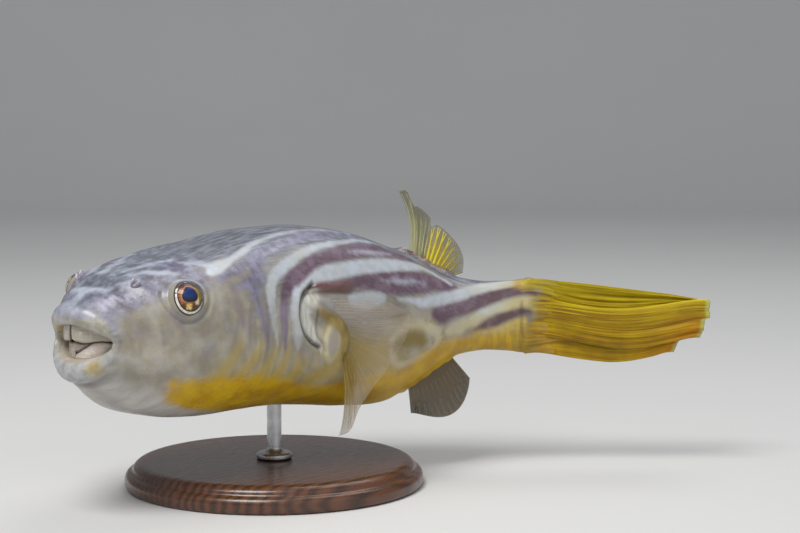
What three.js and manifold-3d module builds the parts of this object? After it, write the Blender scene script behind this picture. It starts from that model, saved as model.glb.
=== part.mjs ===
// Fahaka (Nile) freshwater pufferfish, a life-size model on a display stand.
// Millimetres, +Z up. The head points along -X, the fish's left side is -Y, and the
// tail swings round towards -Y. The origin is the middle of the stand's underside.
//
// The body is one smooth form, given by a section at any distance behind the lips.
// It is parted by thin cuts into head, trunk and tail stalk; fins, eyes, beak plates
// and nostril flaps are separate pieces set against it.
import * as THREE from 'three';
import { mergeVertices } from 'three/addons/utils/BufferGeometryUtils.js';
import Module from 'manifold-3d';

const wasm = await Module();
wasm.setup();
const { clamp, lerp, smoothstep, degToRad } = THREE.MathUtils;

// ---------------------------------------------------------------- driving dimensions, mm
const STANDARD_LENGTH = 291;      // lips to the root of the tail fin
const STIFF_LENGTH = 80;          // head and shoulders are straight for this far
const TAIL_SWING = degToRad(49);  // the rest bends evenly by this much
const TAIL_FIN_LENGTH = 107;
const GAP = 0.3;                  // left between pieces that meet
const HEAD_END = 128;             // cut at the gill opening
const TRUNK_END = 246;            // cut behind the dorsal and anal fins

const AXIS_HEIGHT = 92;           // body axis above the floor
const ROD_BEHIND_LIPS = 139;
const ROD_TO_LEFT = 8;            // the axis has already swung this far there
const BASE_RADIUS = 82;
const BASE_HEIGHT = 14;
const ROD_RADIUS = 4;
const ROD_REACH = 16;             // length of rod inside the belly
const COLLAR_RADIUS = 10;

const EYE_RADIUS = 10;
const EYE_BEHIND_LIPS = 41.5;
const EYE_ROUND = degToRad(59);   // from the top of the back
const EYE_SUNK = 5;               // centre below the skin
const ORBIT_SWELL = 2.2;          // how far the skin stands out round the eye

// Sections: [behind the lips, back above the axis, belly below it, half width]
const SECTIONS = [
  [0, 13, 15.5, 21],              // crest of the lips
  [1.5, 16, 19, 23.3],
  [6, 20, 23, 26.2],
  [14, 26, 29, 32],
  [28, 32, 37, 40],               // nostrils
  [45, 36.5, 42, 45.5],           // eyes
  [65, 41, 45, 48.5],
  [90, 45.2, 46.5, 50],
  [120, 50, 47, 50],              // gill opening
  [150, 51, 49, 47],
  [180, 46.5, 52, 40],
  [205, 38.5, 51, 32],            // vent
  [225, 30, 41, 25],              // dorsal and anal fins
  [243, 21, 29, 19],
  [262, 16.5, 24.5, 14],          // tail stalk
  [280, 16, 24.5, 9.5],
  [STANDARD_LENGTH, 17, 26, 6.5],
];

// The mouth, from its back wall out to the lips:
// [behind the lips, up, down, half width, how far the corners are set back]
const MOUTH = [
  [17, 8, 8.5, 15.5, 3],
  [9, 8.2, 8.8, 17.4, 6],
  [3.5, 8.4, 9.2, 18.6, 8],
  [1, 9.8, 11.2, 19.6, 9],
];
const CORNERS_SET_BACK = 9;

// ---------------------------------------------------------------- small helpers
// Smooth curve through keys [[x, y, ...], ...]; `column` picks the value that is read.
function curve(keys, x, column = 1) {
  const last = keys.length - 1;
  const at = clamp(x, keys[0][0], keys[last][0]);
  let i = 0;
  while (i < last - 1 && at >= keys[i + 1][0]) i += 1;
  const slope = (k) => {
    const a = keys[Math.max(k - 1, 0)];
    const b = keys[Math.min(k + 1, last)];
    return (b[column] - a[column]) / (b[0] - a[0]);
  };
  const span = keys[i + 1][0] - keys[i][0];
  const t = (at - keys[i][0]) / span;
  const rise = 3 * t * t - 2 * t * t * t;
  const leave = t * (1 - t) * (1 - t) * span * slope(i);
  const arrive = t * t * (t - 1) * span * slope(i + 1);
  return lerp(keys[i][column], keys[i + 1][column], rise) + leave + arrive;
}

function signedPower(value, power) {
  return Math.sign(value) * Math.abs(value) ** power;
}

// Axis of the body: its place, its direction and the fish's left, at `u` behind the lips.
const SWING_RADIUS = (STANDARD_LENGTH - STIFF_LENGTH) / TAIL_SWING;
function axisAt(u) {
  const turn = Math.max(u - STIFF_LENGTH, 0) / SWING_RADIUS;
  const x = Math.min(u, STIFF_LENGTH) + SWING_RADIUS * Math.sin(turn) - ROD_BEHIND_LIPS;
  const y = ROD_TO_LEFT - SWING_RADIUS * (1 - Math.cos(turn));
  return {
    place: new THREE.Vector3(x, y, AXIS_HEIGHT),
    back: new THREE.Vector3(Math.cos(turn), -Math.sin(turn), 0),
    left: new THREE.Vector3(-Math.sin(turn), -Math.cos(turn), 0),
  };
}

// A point of a section that is given by its reach up, down and sideways.
// `round` runs from 0 at the top through a quarter turn at the left to a half at the belly.
function sectionPoint(u, round, { up, down, half, setBack }) {
  const widest = -2.5 * smoothstep(u, 0, 30);
  const fullness = Math.cos(round) > 0 ? 2 + 0.9 * Math.exp(-(((u - 48) / 55) ** 2)) : 2.15;
  const rise = signedPower(Math.cos(round), 2 / fullness);
  const side = signedPower(Math.sin(round), 2 / fullness);
  const z = widest + (rise > 0 ? (up - widest) * rise : (down + widest) * rise);
  const axis = axisAt(u);
  const point = axis.place.clone().addScaledVector(axis.left, half * side);
  point.x += setBack * side * side;
  point.z += z;
  return point;
}

function orbitSwell(u, round) {
  const along = (u - EYE_BEHIND_LIPS) / 15;
  const across = (Math.acos(Math.cos(round)) - EYE_ROUND) / degToRad(24);
  return ORBIT_SWELL * Math.exp(-along * along - across * across);
}

function bodyPoint(u, round, grow = 0) {
  const point = sectionPoint(u, round, {
    up: curve(SECTIONS, u, 1) + grow,
    down: curve(SECTIONS, u, 2) + grow,
    half: curve(SECTIONS, u, 3) + grow,
    setBack: CORNERS_SET_BACK * (1 - smoothstep(u, 0, 75)),
  });
  const outwards = point.clone().sub(axisAt(u).place).normalize();
  return point.addScaledVector(outwards, orbitSwell(u, round));
}

// Closed solid through a row of closed loops that all have the same even count of points.
// Each end is closed by strips between the loop's two halves.
function loft(loops) {
  const count = loops[0].length;
  const points = loops.flat().flatMap((p) => [p.x, p.y, p.z]);
  const faces = [];
  for (let r = 0; r + 1 < loops.length; r += 1) {
    for (let k = 0; k < count; k += 1) {
      const a = r * count + k;
      const b = r * count + ((k + 1) % count);
      faces.push([a, b, b + count], [a, b + count, a + count]);
    }
  }
  const closeEnd = (first, flip) => {
    const quad = (a, b, c, d) => {
      const sides = flip ? [[a, d, c], [a, c, b]] : [[a, b, c], [a, c, d]];
      faces.push(...sides.filter(([p, q, s]) => p !== q && q !== s && s !== p));
    };
    for (let k = 0; k < count / 2; k += 1) {
      const across = (count - k) % count;
      quad(first + k, first + across, first + (count - k - 1), first + k + 1);
    }
  };
  closeEnd(0, false);
  closeEnd((loops.length - 1) * count, true);
  const geometry = new THREE.BufferGeometry();
  geometry.setAttribute('position', new THREE.Float32BufferAttribute(points, 3));
  geometry.setIndex(faces.flat());
  return faceOutwards(geometry);
}

function faceOutwards(geometry) {
  const place = geometry.attributes.position;
  const order = geometry.index.array;
  const corner = [new THREE.Vector3(), new THREE.Vector3(), new THREE.Vector3()];
  let volume = 0;
  for (let i = 0; i < order.length; i += 3) {
    corner.forEach((v, k) => v.fromBufferAttribute(place, order[i + k]));
    volume += corner[0].dot(corner[1].cross(corner[2]));
  }
  if (volume < 0) {
    for (let i = 0; i < order.length; i += 3) {
      [order[i + 1], order[i + 2]] = [order[i + 2], order[i + 1]];
    }
  }
  return geometry;
}

function toManifold(geometry) {
  const bare = geometry.clone();
  bare.deleteAttribute('normal');
  bare.deleteAttribute('uv');
  const merged = mergeVertices(bare, 1e-4);
  return new wasm.Manifold(new wasm.Mesh({
    numProp: 3,
    vertProperties: new Float32Array(merged.attributes.position.array),
    triVerts: new Uint32Array(merged.index.array),
  }));
}

function toGeometry(manifold) {
  const mesh = manifold.getMesh();
  const geometry = new THREE.BufferGeometry();
  geometry.setAttribute('position', new THREE.Float32BufferAttribute(mesh.vertProperties, 3));
  geometry.setIndex(Array.from(mesh.triVerts));
  return geometry;
}

function cut(geometry, ...tools) {
  let solid = toManifold(geometry);
  for (const tool of tools) solid = solid.subtract(toManifold(tool));
  return toGeometry(solid);
}

// ---------------------------------------------------------------- body
const AROUND = 34;                // points round a section
const STEP = 7.4;                 // between sections

function ring(pointAt) {
  return Array.from({ length: AROUND }, (_, k) => pointAt((2 * Math.PI * k) / AROUND));
}

function bodyRings(from, to, grow = 0, step = STEP) {
  const steps = Math.max(1, Math.round((to - from) / step));
  return Array.from({ length: steps + 1 }, (_, i) => {
    const u = lerp(from, to, i / steps);
    return ring((round) => bodyPoint(u, round, grow));
  });
}

// The same body, larger by the gap: what meets the skin is cut back by it.
const bodyWithGap = loft(bodyRings(1, STANDARD_LENGTH - 0.1, GAP));

function sideSign(side) {
  return side === 'left' ? 1 : -1;
}

function eyeCentre(side) {
  const skin = bodyPoint(EYE_BEHIND_LIPS, sideSign(side) * EYE_ROUND);
  const inwards = bodyPoint(EYE_BEHIND_LIPS, sideSign(side) * EYE_ROUND, -1).sub(skin);
  return skin.addScaledVector(inwards.normalize(), EYE_SUNK);
}

function ball(radius, centre) {
  const geometry = new THREE.SphereGeometry(radius, 18, 12);
  return geometry.translate(centre.x, centre.y, centre.z);
}

function headGeometry() {
  const mouth = MOUTH.map(([u, up, down, half, setBack]) => (
    ring((round) => sectionPoint(u, round, { up, down, half, setBack }))
  ));
  const lips = [0, 1.5, 6].map((u) => ring((round) => bodyPoint(u, round)));
  const whole = loft([...mouth, ...lips, ...bodyRings(11, HEAD_END - GAP / 2)]);
  const sockets = ['left', 'right'].map((side) => ball(EYE_RADIUS + GAP, eyeCentre(side)));
  return cut(whole, ...sockets);
}

function trunkGeometry() {
  const whole = loft(bodyRings(HEAD_END + GAP / 2, TRUNK_END - GAP / 2));
  const belly = bodyPoint(ROD_BEHIND_LIPS, Math.PI).z;
  const depth = ROD_REACH + GAP;
  const socket = new THREE.CylinderGeometry(ROD_RADIUS + GAP, ROD_RADIUS + GAP, 2 * depth, 24);
  socket.rotateX(Math.PI / 2);
  socket.translate(0, 0, belly);
  return cut(whole, socket);
}

function tailStalkGeometry() {
  return loft(bodyRings(TRUNK_END + GAP / 2, STANDARD_LENGTH));
}

// ---------------------------------------------------------------- beak and nostrils
const BEAK_THICK = 3.2;
const BITE = 0.7;                 // half the gap between the closed plates
const BEAK_HALF_WIDTH = 16.4;

// One of the four tooth plates. `up` is 1 for the upper jaw and -1 for the lower.
function beakGeometry(side, up) {
  const reach = up > 0 ? 7.6 : 8.2;
  const loops = [];
  for (let i = 0; i <= 7; i += 1) {
    const out = lerp(GAP / 2, BEAK_HALF_WIDTH, i / 7);
    const share = out / BEAK_HALF_WIDTH;
    const height = lerp(reach, 2.4, share ** 2.5);
    const front = 3.6 + 7 * share * share;
    const profile = [
      [front + 0.6, BITE], [front, BITE + 1.6], [front + 0.2, height - 1], [front + 1.2, height],
      [front + BEAK_THICK, height], [front + BEAK_THICK, BITE + 1],
    ];
    loops.push(profile.map(([u, z]) => new THREE.Vector3(
      u - ROD_BEHIND_LIPS,
      ROD_TO_LEFT - sideSign(side) * out,
      AXIS_HEIGHT + up * z - 0.3,
    )));
  }
  return loft(loops);
}

// Two small fleshy tips that stand on the snout in place of an open nostril.
const FLAP_BEHIND_LIPS = 24;
const FLAP_ROUND = { left: 28, right: -22 };
const FLAP_HEIGHT = 6;

function nasalFlapGeometry(side) {
  const foot = bodyPoint(FLAP_BEHIND_LIPS, degToRad(FLAP_ROUND[side]), -1);
  const out = bodyPoint(FLAP_BEHIND_LIPS, degToRad(FLAP_ROUND[side]), 4).sub(foot).normalize();
  const loops = [0, 0.4, 0.75, 1].map((share) => {
    const along = 2.6 * (1 - 0.55 * share * share);
    const across = 1.7 * (1 - 0.45 * share * share);
    const centre = foot.clone().addScaledVector(out, share * (FLAP_HEIGHT + 1));
    return Array.from({ length: 12 }, (_, k) => {
      const turn = (2 * Math.PI * k) / 12;
      const notch = share === 1 ? -1.6 * Math.abs(Math.sin(turn)) : 0;
      return centre.clone().add(new THREE.Vector3(
        along * Math.cos(turn),
        across * Math.sin(turn),
        notch,
      ));
    });
  });
  return cut(loft(loops), bodyWithGap);
}

// ---------------------------------------------------------------- fins
// A fin is a fan of rays. `ray(a, s)` gives the point at share `s` of the ray at share
// `a` across the fan, and `side(a)` the direction in which the membrane is thick.
function fanFin({ rays, steps, ray, side, rootThick, edgeThick }) {
  const loops = [];
  for (let j = 0; j <= steps; j += 1) {
    const s = j / steps;
    const thick = lerp(rootThick, edgeThick, Math.sqrt(s));
    const row = Array.from({ length: rays }, (_, i) => i / (rays - 1));
    const face = (sign) => row.slice(1, -1).map((a) => (
      ray(a, s).addScaledVector(side(a), (sign * thick) / 2)
    ));
    loops.push([ray(0, s), ...face(1), ray(1, s), ...face(-1).reverse()]);
  }
  return loft(loops);
}

const ROOT_DEPTH = 3;             // how far a fin's rays start below the skin

function dorsalFinGeometry() {
  const root = (a) => lerp(222, 244, a);
  const ray = (a, s) => {
    const axis = axisAt(root(a));
    const lean = degToRad(86) * a ** 2.2;
    const length = 27 + 9 * Math.exp(-((a / 0.11) ** 2)) - 16.5 * a ** 2.2;
    const reach = s * (length + ROOT_DEPTH);
    const curl = -5.5 * (1 - smoothstep(a, 0, 0.3)) * s ** 3;
    const sway = 3.2 * Math.sin(9 * a + 0.6) * s * s;
    const point = bodyPoint(root(a), 0, -ROOT_DEPTH);
    point.addScaledVector(axis.back, reach * Math.sin(lean) + curl);
    point.addScaledVector(axis.left, sway);
    point.z += reach * Math.cos(lean);
    return point;
  };
  const side = (a) => axisAt(root(a)).left;
  const fan = fanFin({ rays: 14, steps: 6, ray, side, rootThick: 3.4, edgeThick: 0.8 });
  return cut(fan, bodyWithGap);
}

function analFinGeometry() {
  const root = (a) => lerp(222, 246, a);
  const ray = (a, s) => {
    const axis = axisAt(root(a));
    const lean = degToRad(8 + 32 * a);
    const length = 17 + 12.5 * Math.sin(Math.PI * a ** 1.3);
    const reach = s * (length + ROOT_DEPTH);
    const sway = 2.4 * Math.sin(7 * a - 1) * s * s;
    const point = bodyPoint(root(a), Math.PI, -ROOT_DEPTH);
    point.addScaledVector(axis.back, reach * Math.sin(lean));
    point.addScaledVector(axis.left, sway);
    point.z -= reach * Math.cos(lean);
    return point;
  };
  const side = (a) => axisAt(root(a)).left;
  const fan = fanFin({ rays: 12, steps: 5, ray, side, rootThick: 3.4, edgeThick: 0.8 });
  return cut(fan, bodyWithGap);
}

function pectoralFinGeometry(sideName) {
  const sign = sideSign(sideName);
  const rootU = (a) => lerp(140, 155, a);
  const rootRound = (a) => sign * degToRad(lerp(73, 107, a));
  const ray = (a, s) => {
    const axis = axisAt(rootU(a));
    const fall = degToRad(-3 + 104 * a ** 1.4);
    const length = 40 + 22 * Math.exp(-(((a - 0.2) / 0.27) ** 2));
    const reach = s * (length + ROOT_DEPTH);
    const stand = ROOT_DEPTH * s + (5 + 5 * a) * s + 1.6 * Math.sin(10 * a) * s * s;
    const point = bodyPoint(rootU(a), rootRound(a), -ROOT_DEPTH);
    point.addScaledVector(axis.back, reach * Math.cos(fall));
    point.addScaledVector(axis.left, sign * stand);
    point.z -= reach * Math.sin(fall);
    return point;
  };
  const side = (a) => axisAt(rootU(a)).left.multiplyScalar(sign);
  const fan = fanFin({ rays: 15, steps: 6, ray, side, rootThick: 5, edgeThick: 0.9 });
  return cut(fan, bodyWithGap);
}

// The tail fin is half furled: an upper and a lower leaf are folded in behind the middle
// one. `across` runs from the upper edge to the lower; the result is [to the left, up].
function tailFinFold(across, s) {
  const folded = smoothstep(s, 0, 0.35);
  const sag = Math.sin(Math.PI * s) ** 2;
  const top = 17 - 12 * s ** 1.25;
  const middleTop = 5 - 5.6 * sag;
  const middleFoot = -15 - 1.5 * s - 7.4 * Math.sin(Math.PI * s ** 1.15) ** 2;
  const foot = middleFoot - 0.6 - 10.4 * (1 - smoothstep(s, 0.3, 0.85));
  const behind = -3.2 * folded;
  const before = 2 * folded;
  const keys = [
    [0, top, behind],
    [0.3, lerp(middleTop + 3, middleTop - 2.5, folded), behind - 0.6 * folded],
    [0.4, lerp(middleTop, middleTop - 0.2, folded), before - 1.2 * folded],
    [0.6, lerp(middleTop, middleFoot, 0.5), before + 1.2 * folded],
    [0.8, middleFoot, before - 1.2 * folded],
    [0.88, lerp(middleFoot - 3, middleFoot + 2, folded), behind + 0.8 * folded],
    [1, Math.min(foot, middleFoot - 0.3), behind + 0.4 * folded],
  ];
  return [curve(keys, across, 2), curve(keys, across, 1)];
}

function tailFinGeometry() {
  const end = axisAt(STANDARD_LENGTH);
  const across = 22;
  const along = 12;
  const loops = [];
  for (let j = 0; j <= along; j += 1) {
    const s = j / along;
    const thick = lerp(2.4, 0.9, Math.sqrt(s));
    const centre = Array.from({ length: across + 1 }, (_, i) => tailFinFold(i / across, s));
    const reachOf = (i) => {
      const ragged = 1 - 0.05 * smoothstep(i / across, 0.62, 0.8);
      const lowerLeaf = 1 - 0.2 * smoothstep(i / across, 0.8, 1);
      const upperLeaf = 1 - 0.06 * (1 - smoothstep(i / across, 0.1, 0.4));
      return TAIL_FIN_LENGTH * s * ragged * lowerLeaf * upperLeaf;
    };
    const at = (i, offset) => {
      const before = centre[Math.max(i - 1, 0)];
      const after = centre[Math.min(i + 1, across)];
      const run = Math.hypot(after[0] - before[0], after[1] - before[1]);
      const toLeft = centre[i][0] - ((after[1] - before[1]) / run) * offset;
      const up = centre[i][1] + ((after[0] - before[0]) / run) * offset;
      const point = end.place.clone().addScaledVector(end.back, GAP + reachOf(i));
      return point.addScaledVector(end.left, toLeft).add(new THREE.Vector3(0, 0, up));
    };
    const face = (sign) => Array.from({ length: across - 1 }, (_, i) => (
      at(i + 1, (sign * thick) / 2)
    ));
    loops.push([at(0, 0), ...face(1), at(across, 0), ...face(-1).reverse()]);
  }
  return loft(loops);
}

// ---------------------------------------------------------------- stand
function standBaseGeometry() {
  const r = BASE_RADIUS;
  const profile = [
    [0, 0], [r - 1.5, 0], [r, 1.5], [r, 6], [r - 1.2, 8.2], [r - 4, 9.4], [r - 4.8, 11.6],
    [r - 7, 13.4], [r - 10, BASE_HEIGHT], [0, BASE_HEIGHT],
  ];
  const geometry = new THREE.LatheGeometry(profile.map(([x, y]) => new THREE.Vector2(x, y)), 48);
  return geometry.rotateX(Math.PI / 2);
}

function standRodGeometry() {
  const foot = BASE_HEIGHT + GAP;
  const top = bodyPoint(ROD_BEHIND_LIPS, Math.PI).z + ROD_REACH;
  const profile = [
    [0, foot], [COLLAR_RADIUS - 0.6, foot], [COLLAR_RADIUS, foot + 0.6], [COLLAR_RADIUS, foot + 2.4],
    [COLLAR_RADIUS - 1, foot + 3.4], [ROD_RADIUS + 1.2, foot + 4], [ROD_RADIUS, foot + 5.6],
    [ROD_RADIUS, top - 0.6], [ROD_RADIUS - 0.6, top], [0, top],
  ];
  const geometry = new THREE.LatheGeometry(profile.map(([x, y]) => new THREE.Vector2(x, y)), 24);
  return geometry.rotateX(Math.PI / 2);
}

// ---------------------------------------------------------------- materials and nodes
function finish(color, roughness, metalness = 0) {
  return new THREE.MeshStandardMaterial({ color, roughness, metalness });
}

const part = new THREE.Group();

function add(name, geometry, material) {
  const mesh = new THREE.Mesh(geometry, material);
  mesh.name = name;
  part.add(mesh);
}

add('head', headGeometry(), finish(0xb9b2ab, 0.35));
add('trunk', trunkGeometry(), finish(0x8c7a80, 0.35));
add('tail_stalk', tailStalkGeometry(), finish(0xb3a24c, 0.35));
add('dorsal_fin', dorsalFinGeometry(), finish(0xcdbb55, 0.4));
add('anal_fin', analFinGeometry(), finish(0x8f8468, 0.4));
add('caudal_fin', tailFinGeometry(), finish(0xd2a71c, 0.4));
for (const side of ['left', 'right']) {
  add(`pectoral_fin_${side}`, pectoralFinGeometry(side), finish(0xb7a97c, 0.4));
  add(`eye_${side}`, ball(EYE_RADIUS, eyeCentre(side)), finish(0x6a3c1c, 0.1));
  add(`nasal_flap_${side}`, nasalFlapGeometry(side), finish(0xa39ba2, 0.4));
  add(`upper_beak_${side}`, beakGeometry(side, 1), finish(0xd9cbb8, 0.3));
  add(`lower_beak_${side}`, beakGeometry(side, -1), finish(0xd9cbb8, 0.3));
}
add('stand_base', standBaseGeometry(), finish(0x3a2416, 0.4));
add('stand_rod', standRodGeometry(), finish(0xb8babd, 0.3, 1));

export default part;
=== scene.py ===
"""Fahaka (Nile) pufferfish on a display stand: the skin, eyes, beak, fins and stand."""
import math

import bpy
import numpy as np
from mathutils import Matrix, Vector


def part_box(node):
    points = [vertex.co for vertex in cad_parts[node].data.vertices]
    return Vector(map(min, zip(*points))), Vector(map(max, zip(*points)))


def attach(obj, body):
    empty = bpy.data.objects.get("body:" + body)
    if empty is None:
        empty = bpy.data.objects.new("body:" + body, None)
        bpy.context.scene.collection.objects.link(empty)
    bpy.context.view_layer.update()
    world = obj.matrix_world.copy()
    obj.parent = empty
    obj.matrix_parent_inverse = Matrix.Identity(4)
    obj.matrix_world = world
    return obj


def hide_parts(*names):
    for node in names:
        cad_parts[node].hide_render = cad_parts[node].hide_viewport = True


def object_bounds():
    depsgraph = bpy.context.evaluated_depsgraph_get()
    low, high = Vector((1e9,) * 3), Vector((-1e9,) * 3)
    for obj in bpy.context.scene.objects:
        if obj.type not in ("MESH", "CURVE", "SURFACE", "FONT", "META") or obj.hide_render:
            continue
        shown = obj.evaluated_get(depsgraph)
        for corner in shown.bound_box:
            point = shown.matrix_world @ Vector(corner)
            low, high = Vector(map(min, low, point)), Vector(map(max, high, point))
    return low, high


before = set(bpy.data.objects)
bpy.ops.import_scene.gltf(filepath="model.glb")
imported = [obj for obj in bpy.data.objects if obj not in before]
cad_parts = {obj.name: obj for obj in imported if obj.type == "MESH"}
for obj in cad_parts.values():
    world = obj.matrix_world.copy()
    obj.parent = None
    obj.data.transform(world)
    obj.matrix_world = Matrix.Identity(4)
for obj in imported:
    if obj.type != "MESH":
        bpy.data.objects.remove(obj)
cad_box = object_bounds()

MM = 0.001                      # the fish is worked out in millimetres, Blender takes metres

# ------------------------------------------------------------------ driving dimensions, mm
STANDARD_LENGTH = 291.0
STIFF_LENGTH = 80.0
TAIL_SWING = math.radians(49)
SWING_RADIUS = (STANDARD_LENGTH - STIFF_LENGTH) / TAIL_SWING
TAIL_FIN_LENGTH = 107.0
AXIS_HEIGHT = 92.0
ROD_BEHIND_LIPS = 139.0
ROD_TO_LEFT = 8.0
CORNERS_SET_BACK = 9.0          # the corners of the mouth lie behind the middle of the lips
CORNERS_FADE = 75.0             # where that setting back has run out
CORNER_NOTCH = 3.0
NOTCH_LENGTH = 13.0
FLOOR = cad_box[0][2]

EYE_BEHIND_LIPS = 41.5
EYE_ROUND = math.radians(59)
EYE_SUNK = 5.0
EYE_RADIUS = 10.0
EYE_OPENING = 8.15              # radius of the ring where the skin meets the eyeball
ORBIT_SWELL = 2.2
ORBIT_HALF_LENGTH = 15.0
ORBIT_HALF_HEIGHT = math.radians(24)
WIDEST_BELOW_AXIS = 2.5

# behind the lips, back above the axis, belly below it, half width
SECTIONS = np.array([
    [0, 13, 15.5, 22], [1.5, 16, 19, 24], [6, 20, 23, 26.2], [14, 26, 29, 32],
    [28, 32, 37, 40], [45, 36.5, 42, 45.5], [65, 41, 45, 48.5], [90, 45.2, 46.5, 50],
    [120, 50, 47, 50], [150, 51, 49, 47], [180, 46.5, 52, 40], [205, 38.5, 51, 32],
    [225, 30, 41, 25], [243, 21, 29, 19], [262, 16.5, 24.5, 14], [280, 16, 24.5, 9.5],
    [STANDARD_LENGTH, 17, 26, 6.5],
])
# from the mouth's back wall to the crest of the lips: behind the lips, up, down, half width,
# how far the corners are set back
MOUTH = np.array([
    [17, 8, 8.5, 16, 3], [9, 8.4, 9, 18.2, 6], [4.5, 8.4, 9.4, 19.6, 8],
    [1.4, 9.4, 11, 20.8, 9], [0, 13, 15.5, 22, 9],
])


# ------------------------------------------------------------------ the body's own geometry
def curve(keys, x, column=1):
    """Smooth curve through rows of keys, read at x (an array)."""
    xs = keys[:, 0] if keys[0, 0] < keys[-1, 0] else -keys[:, 0]
    ys = keys[:, column]
    slope = np.empty_like(ys)
    slope[1:-1] = (ys[2:] - ys[:-2]) / (xs[2:] - xs[:-2])
    slope[0] = (ys[1] - ys[0]) / (xs[1] - xs[0])
    slope[-1] = (ys[-1] - ys[-2]) / (xs[-1] - xs[-2])
    x = np.clip(x, xs[0], xs[-1])
    i = np.clip(np.searchsorted(xs, x, side="right") - 1, 0, len(xs) - 2)
    span = xs[i + 1] - xs[i]
    t = (x - xs[i]) / span
    rise = t * t * (3 - 2 * t)
    leave = t * (1 - t) ** 2 * span * slope[i]
    arrive = t * t * (t - 1) * span * slope[i + 1]
    return ys[i] + (ys[i + 1] - ys[i]) * rise + leave + arrive


def smooth(low, high, x):
    """0 up to low, 1 from high on, and a smooth rise between; low may be the larger."""
    t = np.clip((np.asarray(x, float) - low) / (high - low), 0, 1)
    return t * t * (3 - 2 * t)


def fade(low, high, x):
    """1 up to low, 0 from high on, and a smooth fall between."""
    return 1 - smooth(low, high, x)


def rounded_off(share, sharpness):
    """1 over most of a share from 0 to 1, falling off in a round at both ends."""
    return np.sqrt(np.clip(1 - (2 * np.abs(share - 0.5)) ** sharpness, 0.02, 1))


def bell(x, width):
    """1 at x = 0, falling off smoothly to both sides."""
    return np.exp(-(np.asarray(x, float) / width) ** 2)


def unit(vector):
    return vector / np.linalg.norm(vector, axis=-1, keepdims=True)


def mix(a, b, t):
    return a + (b - a) * t


def from_top(around):
    """The angle from the top of the back down either flank, 0 to pi."""
    return np.arccos(np.clip(np.cos(around), -1, 1))


def axis_at(u):
    """The body axis at u behind the lips: place, direction backwards, direction to the left."""
    u = np.asarray(u, float)
    turn = np.maximum(u - STIFF_LENGTH, 0) / SWING_RADIUS
    over = np.maximum(u - STANDARD_LENGTH, 0)
    turn = np.minimum(turn, TAIL_SWING)
    x = np.minimum(u, STIFF_LENGTH) + SWING_RADIUS * np.sin(turn) - ROD_BEHIND_LIPS
    y = ROD_TO_LEFT - SWING_RADIUS * (1 - np.cos(turn))
    zero = np.zeros_like(x)
    back = np.stack([np.cos(turn), -np.sin(turn), zero], -1)
    left = np.stack([-np.sin(turn), -np.cos(turn), zero], -1)
    place = np.stack([x, y, zero + AXIS_HEIGHT], -1) + back * over[..., None]
    return place, back, left


def section_point(u, around, up, down, half, set_back, fullness=None):
    """A point of the section at u: up, down and half are its reach above, below and beside the
    axis, set_back is how far its sides lie behind its middle, fullness how square it is."""
    widest = -WIDEST_BELOW_AXIS * smooth(0, 30, u)
    if fullness is None:
        upper = mix(1.95, 2 + 0.9 * bell(u - 48, 55), smooth(0, 26, u))
        fullness = np.where(np.cos(around) > 0, upper, mix(1.9, 2.15, smooth(0, 26, u)))
    rise, side = (np.sign(part) * np.abs(part) ** (2 / fullness)
                  for part in (np.cos(around), np.sin(around)))
    place, _, left = axis_at(u)
    point = place + left * (half * side)[..., None]
    point[..., 0] += set_back * side * side
    point[..., 0] += CORNER_NOTCH * np.abs(side) ** 8 * fade(0, NOTCH_LENGTH, u)
    point[..., 2] += widest + np.where(rise > 0, (up - widest) * rise, (down + widest) * rise)
    return point


def body_point(u, around, grow=0.0):
    """A point of the body without its folds: at u behind the lips, round from the top."""
    u = np.asarray(u, float)
    around = np.asarray(around, float)
    reach = [curve(SECTIONS, u, column) + grow for column in (1, 2, 3)]
    point = section_point(u, around, *reach, CORNERS_SET_BACK * fade(0, CORNERS_FADE, u))
    outwards = unit(point - axis_at(u)[0])
    swell = ORBIT_SWELL * bell(u - EYE_BEHIND_LIPS, ORBIT_HALF_LENGTH)
    swell = swell * bell(from_top(around) - EYE_ROUND, ORBIT_HALF_HEIGHT)
    return point + outwards * swell[..., None]


def eye_frame(side):
    """Centre of the eyeball and the direction in which it looks."""
    skin = body_point(EYE_BEHIND_LIPS, side * EYE_ROUND)
    inwards = unit(body_point(EYE_BEHIND_LIPS, side * EYE_ROUND, -1.0) - skin)
    return skin + inwards * EYE_SUNK, -inwards


# ------------------------------------------------------------------ meshes
def link_object(name, data):
    """An object with the given data, in the scene."""
    made = bpy.data.objects.new(name, data)
    bpy.context.collection.objects.link(made)
    return made


def new_piece(name, points, faces, material, shade_smooth=True):
    """A mesh object at the origin. Points are in millimetres."""
    mesh = bpy.data.meshes.new(name)
    mesh.from_pydata((np.asarray(points).reshape(-1, 3) * MM).tolist(), [], faces)
    mesh.validate()
    mesh.polygons.foreach_set("use_smooth", [shade_smooth] * len(mesh.polygons))
    mesh.materials.append(material)
    mesh.update()
    return link_object(name, mesh)


def paint(piece, name, values):
    """Stores one number for each vertex under a name that a material reads."""
    layer = piece.data.attributes.new(name, "FLOAT", "POINT")
    layer.data.foreach_set("value", np.asarray(values, np.float32).ravel())


def lay_out(piece, across, along):
    """A UV map from two numbers for each vertex."""
    layer = piece.data.uv_layers.new(name="lie")
    loops = np.empty(len(piece.data.loops), int)
    piece.data.loops.foreach_get("vertex_index", loops)
    uv = np.stack([np.asarray(across).ravel()[loops], np.asarray(along).ravel()[loops]], -1)
    layer.data.foreach_set("uv", uv.astype(np.float32).ravel())


def tube_faces(rows, columns, first=0):
    """Quads of a grid whose columns close on themselves."""
    faces = []
    for r in range(rows - 1):
        for k in range(columns):
            a = first + r * columns + k
            b = first + r * columns + (k + 1) % columns
            faces.append((a, b, b + columns, a + columns))
    return faces


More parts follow.
